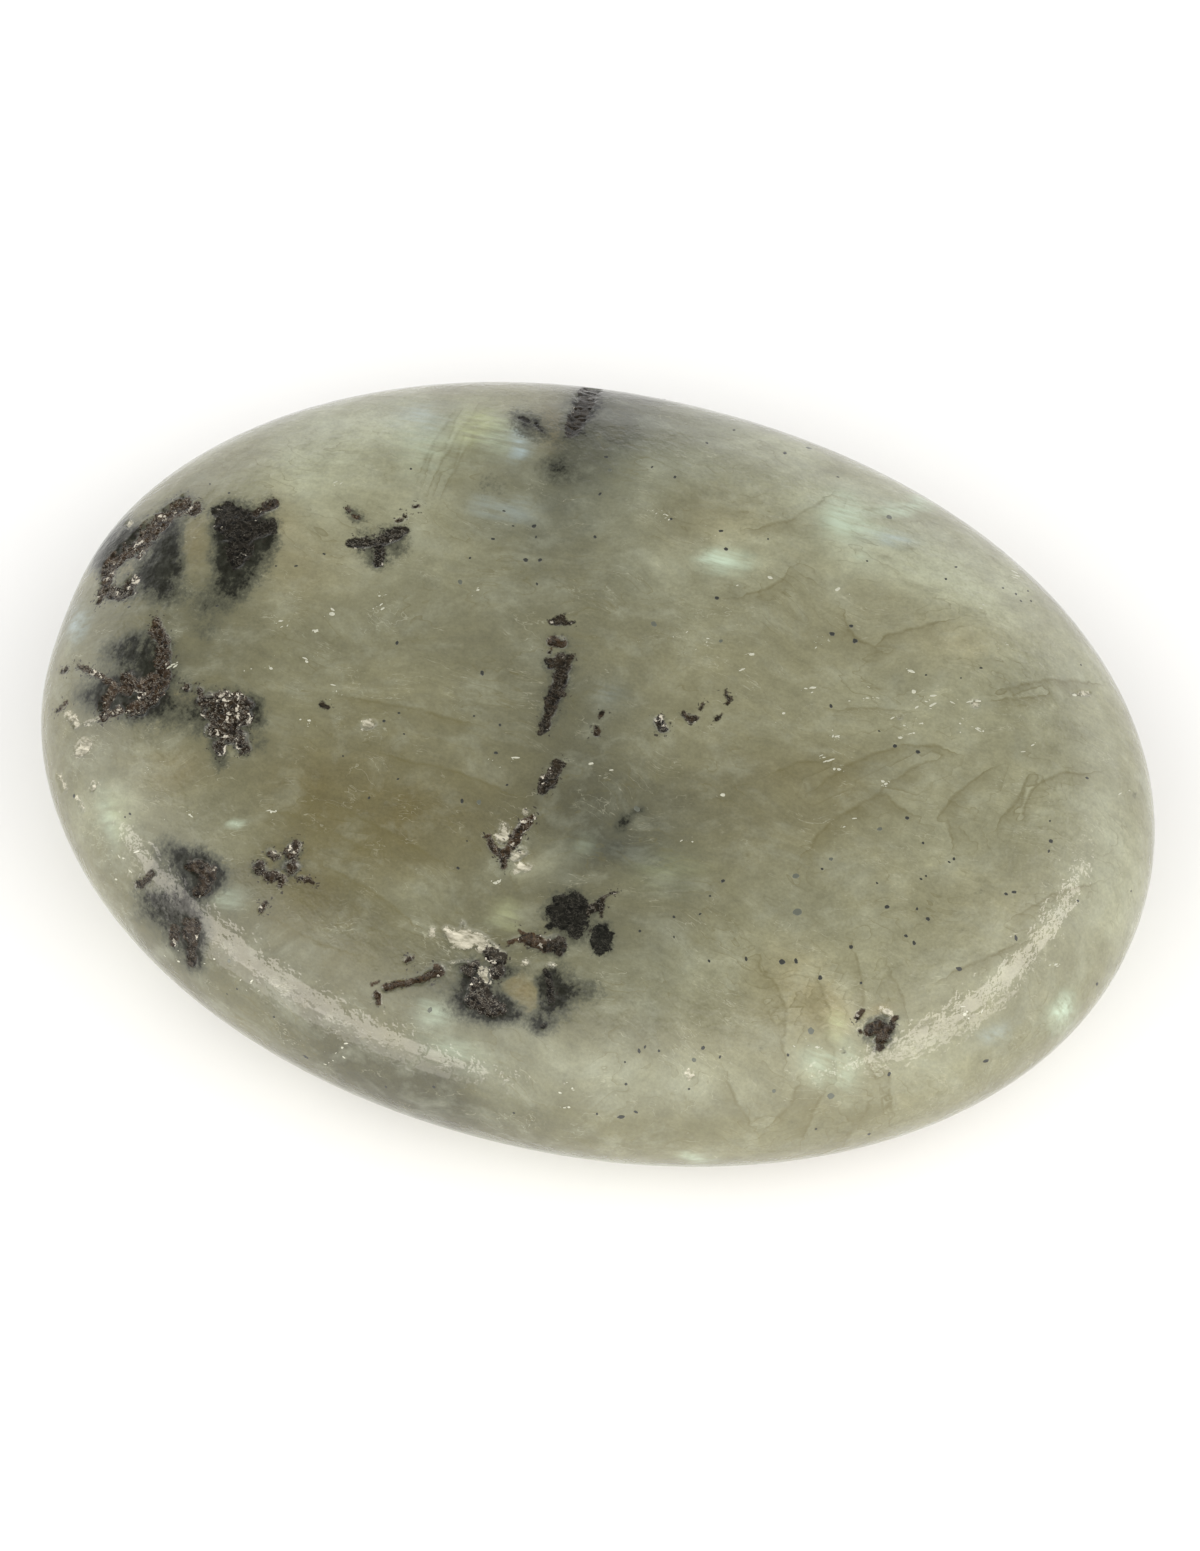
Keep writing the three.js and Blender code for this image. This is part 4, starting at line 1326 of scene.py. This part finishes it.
print("clots:", len(CLOTS) + len(BELLY_CLOTS))

# %% [markdown]
# ## Broken crystals
# Inside a clot lie hundreds of small crystals, each with its own black or rusty brown. A Voronoi
# pattern gives each cell one random colour, so its first number tints a crystal, and its second one
# picks the few that glint. Its place is pushed about a little, because crystals aren't pebbles.

# %% Fill the grains with crystals
CRYSTAL_FACE = 0.14
pushed = add_node(tree, "TexNoise", lumps(in_mm, 0.35, detail=2.0), out="Color")
pushed = add_node(tree, "VectorMath", (pushed, HALF, in_mm), operation="MULTIPLY_ADD")
crystals = add_node(tree, "TexVoronoi", {"Vector": pushed, "Scale": 1 / CRYSTAL_FACE}, out="Color")
tint = add_node(tree, "SeparateColor", (crystals,), out=0)
chance = add_node(tree, "SeparateColor", (crystals,), out=1)
black = lay_over(linear("#0b0b09"), (tint, "#1d1d19"))
rust = lay_over(linear("#130e08"), (tint, "#453524"))
grain_colour = lay_over(black, (marks["clot_brown"], rust))
print("crystal, mm:", CRYSTAL_FACE)

# %% [markdown]
# ## Glints on the broken faces
# Cleavage faces in a clot catch the light, so white splinters and flakes are painted in as glints.
# Splinters follow the thin lines of a noise, as hairlines do. Flakes are whole crystals, picked by
# chance in some patches only.

# %% Make the crystals glint
# GLINT is a painted highlight, white where a broken face would catch the light.
GLINT = "#c2bcac"
splinters = add_node(tree, "Mapping", laid(pushed, 35, (1.0, 1.7, 1.3)))
splinters = add_node(tree, "TexNoise", lumps(splinters, 0.34))
splinters = add_node(tree, "Math", (splinters, 0.5), operation="SUBTRACT")
splinters = add_node(tree, "Math", (splinters,), operation="ABSOLUTE")
splinters = add_node(tree, "MapRange", (splinters, 0.0, 0.025, 0.4, 0.0))
glinting = add_node(tree, "MapRange", (marks["clot_glint"], 0.0, 0.6, 0.15, 1.0))
splinters = add_node(tree, "Math", (splinters, glinting), operation="MULTIPLY")
flakes = add_node(tree, "Math", (chance, -1.0), operation="ADD")
flakes = add_node(tree, "Math", (marks["clot_glint"], 0.5, flakes), operation="MULTIPLY_ADD")
patches = add_node(tree, "MapRange", (mottle, 0.38, 0.64, -0.6, 0.13))
flakes = add_node(tree, "Math", (flakes, patches), operation="ADD")
flakes = add_node(tree, "MapRange", (flakes, 0.0, 0.15, 0.0, 0.95))
glints = add_node(tree, "Math", (splinters, flakes), operation="MAXIMUM")
grain_colour = lay_over(grain_colour, (glints, GLINT))
print("glint:", GLINT)

# %% [markdown]
# ## Crumbs around the clots
# Loose grains are strewn around a clot, fewer the farther out. They are cells of the same Voronoi
# pattern, picked by chance, and each is cut to a round dot by its distance from the cell's middle.

# %% Strew the crumbs
CRUMB = "#2b2620"
CRUMB_REACH = 0.38
crumb_share = add_node(tree, "MapRange", (marks["clot"], 0.0, CRUMB_REACH, 0.55, 0.0))
crumb_glint = add_node(tree, "MapRange", (marks["clot_glint"], 0.1, 0.5, 0.35, 1.0))
crumb_share = add_node(tree, "Math", (crumb_share, crumb_glint), operation="MULTIPLY")
crumb = add_node(tree, "Math", (crumb_share, -1.0), operation="ADD")
crumb = add_node(tree, "Math", (chance, crumb), operation="ADD")
crumb = add_node(tree, "MapRange", (crumb, 0.0, 0.1, 0.0, 0.85))
crumb_shape = add_node(tree, "MapRange", (crystals.node.outputs["Distance"], 0.3, 0.5, 1.0, 0.0))
crumb = add_node(tree, "Math", (crumb, crumb_shape), operation="MULTIPLY")
body = lay_over(body, (crumb, CRUMB), (clot, grain_colour))
tree.links.new(body, skin.inputs["Base Color"])
print("crumbs reach, mm:", CRUMB_REACH)

# %% [markdown]
# ## Worn polish
# The skin is glassy but has been carried in a pocket. Where polish has worn, the reflection of a lamp
# breaks into patches, so the reflection's edge looks torn. Slow shallow dents do that, and tiny pits
# blur it. Broken places are rougher, and they give back less light than the polish does.

# %% Polish the skin
FELDSPAR_IOR = 1.56
DENT_DEPTH = 0.013
skin.inputs["IOR"].default_value = FELDSPAR_IOR
worn = add_node(tree, "TexNoise", lumps(in_mm, 0.7, detail=5.0, roughness=0.7))
worn = add_node(tree, "MapRange", (worn, 0.52, 0.6, 0.045, 0.12))
rough_clot = add_node(tree, "Math", (clot, 0.16), operation="MULTIPLY")
rough_chip = add_node(tree, "Math", (chip, 0.4), operation="MULTIPLY")
rough = add_node(tree, "Math", (rough_clot, rough_chip), operation="MAXIMUM")
rough = add_node(tree, "Math", (worn, rough), operation="MAXIMUM")
tree.links.new(rough, skin.inputs["Roughness"])
dents = add_node(tree, "TexNoise", lumps(in_mm, 0.9, detail=3.0))
dents = add_node(tree, "MapRange", (dents, 0.42, 0.58, 0.0, 1.0))
polish = add_node(tree, "Bump", {"Strength": 1.0, "Distance": DENT_DEPTH * MM, "Height": dents})
tree.links.new(polish, skin.inputs["Normal"])
dull = add_node(tree, "Math", (shade, 0.65), operation="MULTIPLY")
dull = add_node(tree, "Math", (clot, dull), operation="MAXIMUM")
gloss = add_node(tree, "MapRange", (dull, 0.1, 0.9, 0.5, 0.12))
tree.links.new(gloss, skin.inputs["Specular IOR Level"])
stone.data.materials.append(feldspar)
print("feldspar nodes:", len(tree.nodes))

# %% [markdown]
# ## Black specks
# Fine grains of ilmenite are scattered through the stone, and the polish cuts them flush. Each is
# modelled as a thin chipped disc set level with the skin. One disc is made and copied; a copy's rim is
# pushed about, so that no two specks are alike. The paler ones lie a little under the skin.

# %% Model one speck
SPECKS = [
    (324, 554, 2), (296, 566, 2), (276, 566, 2), (397, 643, 3.5), (384, 721, 3), (399, 713, 2),
    (404, 734, 1.5),
    (343, 756, 1.5), (398, 779, 2), (129, 607, 2), (217, 606, 2), (229, 493, 2), (210, 484, 2),
    (411, 469, 2.5),
    (534, 526, 4), (526, 560, 4), (540, 560, 3.5), (600, 494, 2.5), (595, 537, 2.5), (606, 457, 2.5),
    (707, 443, 2.5), (652, 467, 2), (675, 477, 2.5), (671, 519, 2.5), (721, 531, 3), (726, 549, 4),
    (717, 598, 4), (734, 430, 2.5), (470, 558, 2), (482, 673, 3.5), (537, 584, 2), (493, 539, 2.5),
    (504, 511, 2), (513, 526, 1.5), (536, 537, 2), (785, 453, 4), (867, 561, 2), (956, 567, 2),
    (946, 579, 2.5), (838, 477, 2), (832, 634, 5), (851, 626, 3), (855, 641, 4.5), (831, 706, 3),
    (926, 675, 2), (981, 668, 2), (1081, 665, 2), (1028, 591, 2), (1031, 601, 2), (1016, 594, 2),
    (1003, 588, 2), (1021, 601, 2), (961, 678, 1.5), (879, 731, 1.5), (768, 539, 2), (496, 753, 3),
    (462, 801, 3), (458, 868, 3), (507, 785, 2), (474, 716, 2), (500, 725, 2.5), (467, 841, 1.5),
    (674, 917, 2), (640, 931, 2.5), (895, 746, 4), (918, 752, 4), (907, 818, 3.5), (1051, 841, 4),
    (1049, 851, 2), (1050, 821, 2), (923, 843, 2), (887, 907, 3.5), (928, 919, 3.5), (906, 936, 3),
    (914, 943, 3), (851, 947, 4), (1016, 938, 3), (877, 883, 2), (926, 876, 2), (921, 879, 2),
    (917, 909, 2),
    (1087, 778, 2.5), (822, 869, 2), (1131, 891, 2), (954, 859, 2.5), (949, 862, 2), (237, 989, 2),
    (227, 994, 1.5), (274, 1017, 2), (306, 1057, 3.5), (386, 1087, 2), (369, 798, 2.5), (130, 814, 2),
    (125, 817, 1.5), (74, 796, 3.5), (434, 1087, 3), (700, 914, 2), (710, 896, 2), (723, 881, 3),
    (674, 937, 1.5), (709, 961, 2), (746, 959, 2.5), (703, 1048, 3), (639, 1051, 2.5), (645, 1047, 2),
    (659, 1051, 2), (625, 1062, 2), (626, 1084, 2.5), (621, 1117, 4), (636, 1112, 2.5), (597, 1114, 2),
    (514, 1113, 2), (689, 1089, 2), (720, 1057, 2), (782, 962, 4.5), (796, 961, 3.5), (820, 978, 3.5),
    (861, 983, 2.5), (959, 969, 4), (986, 1061, 4), (869, 1134, 3), (1097, 984, 3), (1078, 901, 2),
    (816, 1129, 2), (788, 1055, 2.5), (889, 1074, 3), (1006, 894, 3), (1014, 892, 3),
]
DEEP_SPECKS = [
    (654, 624, 4), (721, 641, 3), (460, 582, 3), (889, 517, 4), (809, 448, 4), (479, 802, 3), (880, 829, 3),
    (831, 859, 3), (694, 1060, 3), (831, 1096, 5), (774, 1091, 3), (811, 1031, 5), (229, 961, 3),
    (796, 876, 4), (797, 912, 5), (637, 809, 4), (1100, 640, 3), (430, 1010, 3), (610, 470, 3),
]
SPECK_SIDES = 10
WORN_EDGE = 0.15
bpy.ops.object.select_all(action="DESELECT")
bpy.ops.mesh.primitive_cylinder_add(
    vertices=SPECK_SIDES, radius=1 * MM, depth=0.5 * MM, location=(0, 0, 0.1)
)
speck = bpy.context.object
speck.name = "speck"
edge_softener = speck.modifiers.new("worn edge", "BEVEL")
edge_softener.width = WORN_EDGE * MM
edge_softener.segments = 1
bpy.ops.object.modifier_apply(modifier=edge_softener.name)
bpy.ops.object.shade_flat()
print("one speck:", len(speck.data.polygons), "faces")

# %% [markdown]
# ## Finding places on the stone
# A speck's place was read from the photograph, in pixels. A ray from the camera through that pixel
# meets the stone where the speck lies, so a copy can be set there, flat on the surface.

# %% Find places on the stone


def surface_spot(across, down):
    """The place on the stone under a pixel of the photograph, and the surface's normal there."""
    spot, normal, _, _ = surface["tree"].ray_cast(Vector(EYE), Vector(photo_ray(across, down)))
    return spot, normal


def spots_of(drawn, share=1.0):
    """Spots on the stone for marks drawn in the photograph, each with its radius in mm."""
    found = [(*surface_spot(x, y), share * radius / PIXELS_PER_MM) for x, y, radius in drawn]
    return [spot for spot in found if spot[0]]


dark_spots = spots_of(SPECKS, 0.66)
sunken_spots = spots_of(DEEP_SPECKS, 0.8)
print("spots found:", len(dark_spots), "of", len(SPECKS), "and", len(sunken_spots), "of", len(DEEP_SPECKS))

# %% [markdown]
# ## Specks on the hidden side
# The photograph shows one side, but the stone has specks all round. So rays are sent in from random
# ways at the hidden side. The flat face that the stone rests on stays free of them.

# %% Scatter specks on the hidden side
HIDDEN_SPECKS = 90
RESTING_GAP = 0.3
dice = random.Random(SEED)


def hidden_spots(count):
    """Random spots on the side that the photograph doesn't show, each with its radius in mm."""
    spots = []
    while len(spots) < count:
        turn, rise = dice.uniform(0, math.tau), dice.uniform(-1.2, 0.15)
        flat = math.cos(rise)
        way = Vector((math.cos(turn) * flat, math.sin(turn) * flat, math.sin(rise)))
        start = Vector(GIRDLE_MIDDLE) + way * 60
        spot, normal, _, _ = surface["tree"].ray_cast(start, -way)
        if spot and spot.z > RESTING_GAP and normal.dot(Vector(BACK)) < 0:
            spots.append((spot, normal, dice.uniform(1, 3) / PIXELS_PER_MM))
    return spots


dark_spots += hidden_spots(HIDDEN_SPECKS)
print("dark specks:", len(dark_spots))

# %% [markdown]
# ## Setting the copies in the skin
# Each copy gets its own mesh, so that its rim can be pushed about by noise and no two are alike. It is
# then laid flat, turned, stretched and sunk until it stands a hundredth of a millimetre proud. All
# copies are joined to one piece, with its place in its mesh.

# %% Set copies in the skin
GRAIN_TURN = 0.1
GRAIN_SWAY = 0.5
ANY_WAY = 9.0
RIM_BUMP = 0.3
SPECK_FLATNESS = 0.2
SINK = 0.025


def lying(normal, turn):
    """Turns a disc flat onto the surface, its length turned by some radians from the photo's across."""
    length = Vector(RIGHT) - normal * normal.dot(Vector(RIGHT))
    length.rotate(Quaternion(normal, turn))
    length.normalize()
    return Matrix((length, normal.cross(length), normal)).transposed().to_quaternion()


def chip_rim(mesh, spot):
    """Pushes a disc's rim about by noise, leans it to one side, and flattens it."""
    lean = Vector((dice.uniform(-1, 1), dice.uniform(-1, 1), 0)) * 0.3
    for vertex in mesh.vertices:
        x, y, z = vertex.co
        angle = math.atan2(y, x)
        rim = Vector((math.cos(angle), math.sin(angle), 0))
        bump = 1 + RIM_BUMP * noise.noise(rim * 1.3 + Vector(spot) * 7)
        vertex.co = Vector((x * bump + lean.x * x, y * bump, z * SPECK_FLATNESS))


def set_in_skin(original, spots, proud, stretch, sway):
    """Copies a disc of 1 mm radius to each (spot, normal, radius) and joins the copies to one piece."""
    copies = []
    for spot, normal, radius in spots:
        copy = original.copy()
        copy.data = original.data.copy()
        bpy.context.collection.objects.link(copy)
        chip_rim(copy.data, spot)
        longer = dice.uniform(1, stretch)
        copy.rotation_mode = "QUATERNION"
        copy.rotation_quaternion = lying(normal, dice.gauss(GRAIN_TURN, sway))
        copy.scale = (radius * math.sqrt(longer), radius / math.sqrt(longer), 0.5)
        copy.location = (spot + normal * (proud - SINK)) * MM
        copies.append(copy)
    bpy.ops.object.select_all(action="DESELECT")
    for copy in copies:
        copy.select_set(True)
    bpy.context.view_layer.objects.active = copies[0]
    bpy.ops.object.join()
    bpy.ops.object.transform_apply(location=True, rotation=True, scale=True)
    return bpy.context.object


specks = set_in_skin(speck, dark_spots, 0.012, 1.7, ANY_WAY)
specks.name = "dark_specks"
deep_specks = set_in_skin(speck, sunken_spots, 0.008, 1.3, ANY_WAY)
deep_specks.name = "sunken_specks"
speck_triangles = sum(len(face.vertices) - 2 for face in specks.data.polygons)
print("dark specks' triangles:", speck_triangles)

# %% [markdown]
# ## Finishes for the specks
# A speck is too small to show a pattern, so each kind has one plain colour. All were polished along
# with the stone, so they are as glassy as it is.

# %% Polish the specks


def glassy(name, hex_colour, roughness):
    """A plain polished finish in one colour."""
    finish = bpy.data.materials.new(name)
    finish.use_nodes = True
    shader = finish.node_tree.nodes["Principled BSDF"]
    shader.inputs["Base Color"].default_value = linear(hex_colour)
    shader.inputs["Roughness"].default_value = roughness
    shader.inputs["IOR"].default_value = FELDSPAR_IOR
    return finish


# Ilmenite polishes to a near-black gloss, so the eye sees a hard dark dot.
specks.data.materials.append(glassy("polished ilmenite", "#33342f", 0.12))
# Clear feldspar over a grain greys it, so the eye sees the dot as lying deeper.
deep_specks.data.materials.append(glassy("grain under the skin", "#5a5d52", 0.12))
print("finishes:", specks.data.materials[0].name, "and", deep_specks.data.materials[0].name)

# %% [markdown]
# ## Pale flecks
# Short cleavage cracks inside the feldspar catch the light as white splinters. They lie in small
# groups along the grain, so each place drawn here gets two to nine long thin copies of the same disc.

# %% Scatter the splinters
FLECKS = [
    (313, 630, 4), (330, 614, 4), (380, 595, 3), (380, 608, 3), (283, 627, 2.5), (253, 669, 2),
    (274, 669, 2.5),
    (174, 666, 3), (311, 657, 3), (306, 723, 3), (336, 694, 3), (338, 484, 2.5), (474, 591, 4),
    (657, 514, 3),
    (709, 529, 2.5), (749, 580, 3), (841, 592, 3.5), (1017, 576, 4), (911, 673, 4), (811, 689, 4),
    (777, 722, 4), (980, 606, 3), (1006, 646, 4), (960, 703, 3.5), (977, 703, 3.5), (965, 719, 4),
    (911, 734, 2.5), (1029, 749, 4), (1080, 693, 4), (1126, 796, 3.5), (886, 783, 3), (841, 821, 3),
    (840, 771, 2.5), (823, 759, 3), (834, 737, 2.5), (510, 760, 3), (496, 760, 2.5), (596, 773, 3),
    (737, 802, 3), (686, 841, 2.5), (170, 817, 3), (191, 813, 3), (271, 811, 3), (319, 1039, 2.5),
    (334, 1050, 2), (326, 1061, 2), (174, 960, 4), (497, 881, 3), (974, 1013, 4), (811, 1046, 4),
    (1056, 965, 3), (526, 1121, 3), (567, 1090, 3), (567, 1107, 3), (748, 655, 3), (740, 670, 3),
    (860, 700, 3), (930, 700, 4), (905, 722, 3), (980, 730, 3), (820, 640, 2.5), (700, 640, 2.5),
    (150, 770, 3), (120, 850, 3.5), (132, 875, 3), (250, 990, 2.5), (215, 960, 2.5), (640, 640, 2.5),
]
FLECK_GROUP = 9
FLECK_SPREAD = 11
FLECK_LENGTH = 4.5
fleck_spots = []
for across, down, radius in FLECKS:
    spread = dice.uniform(2, FLECK_SPREAD)
    for _ in range(dice.randint(2, FLECK_GROUP)):
        aside = (dice.gauss(0, spread), dice.gauss(0, 0.6 * spread))
        spot, normal = surface_spot(across + aside[0], down + aside[1])
        if spot:
            size = 0.6 * dice.random() ** 2 * radius / PIXELS_PER_MM + 0.01
            fleck_spots.append((spot, normal, size))
flecks = set_in_skin(speck, fleck_spots, 0.01, FLECK_LENGTH, GRAIN_SWAY)
flecks.name = "pale_flecks"
# Air in a cleavage crack makes it white and not quite smooth, and its face catches the light, so the eye
# sees a bright thin splinter: partly its own white, partly a painted glint.
flecks.data.materials.append(glassy("white cleavage splinter", "#b5b5a3", 0.2))
print("flecks:", len(fleck_spots))

# %% [markdown]
# ## Riding on the frame
# Specks and flecks are part of the stone, so they ride on the same body as it does. The first disc
# was only a pattern to copy from, and it is removed.

# %% Fix the specks to the frame
bpy.data.objects.remove(speck)
for piece in (specks, deep_specks, flecks):
    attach(piece, "root")
print("pieces set in the skin:", 3)
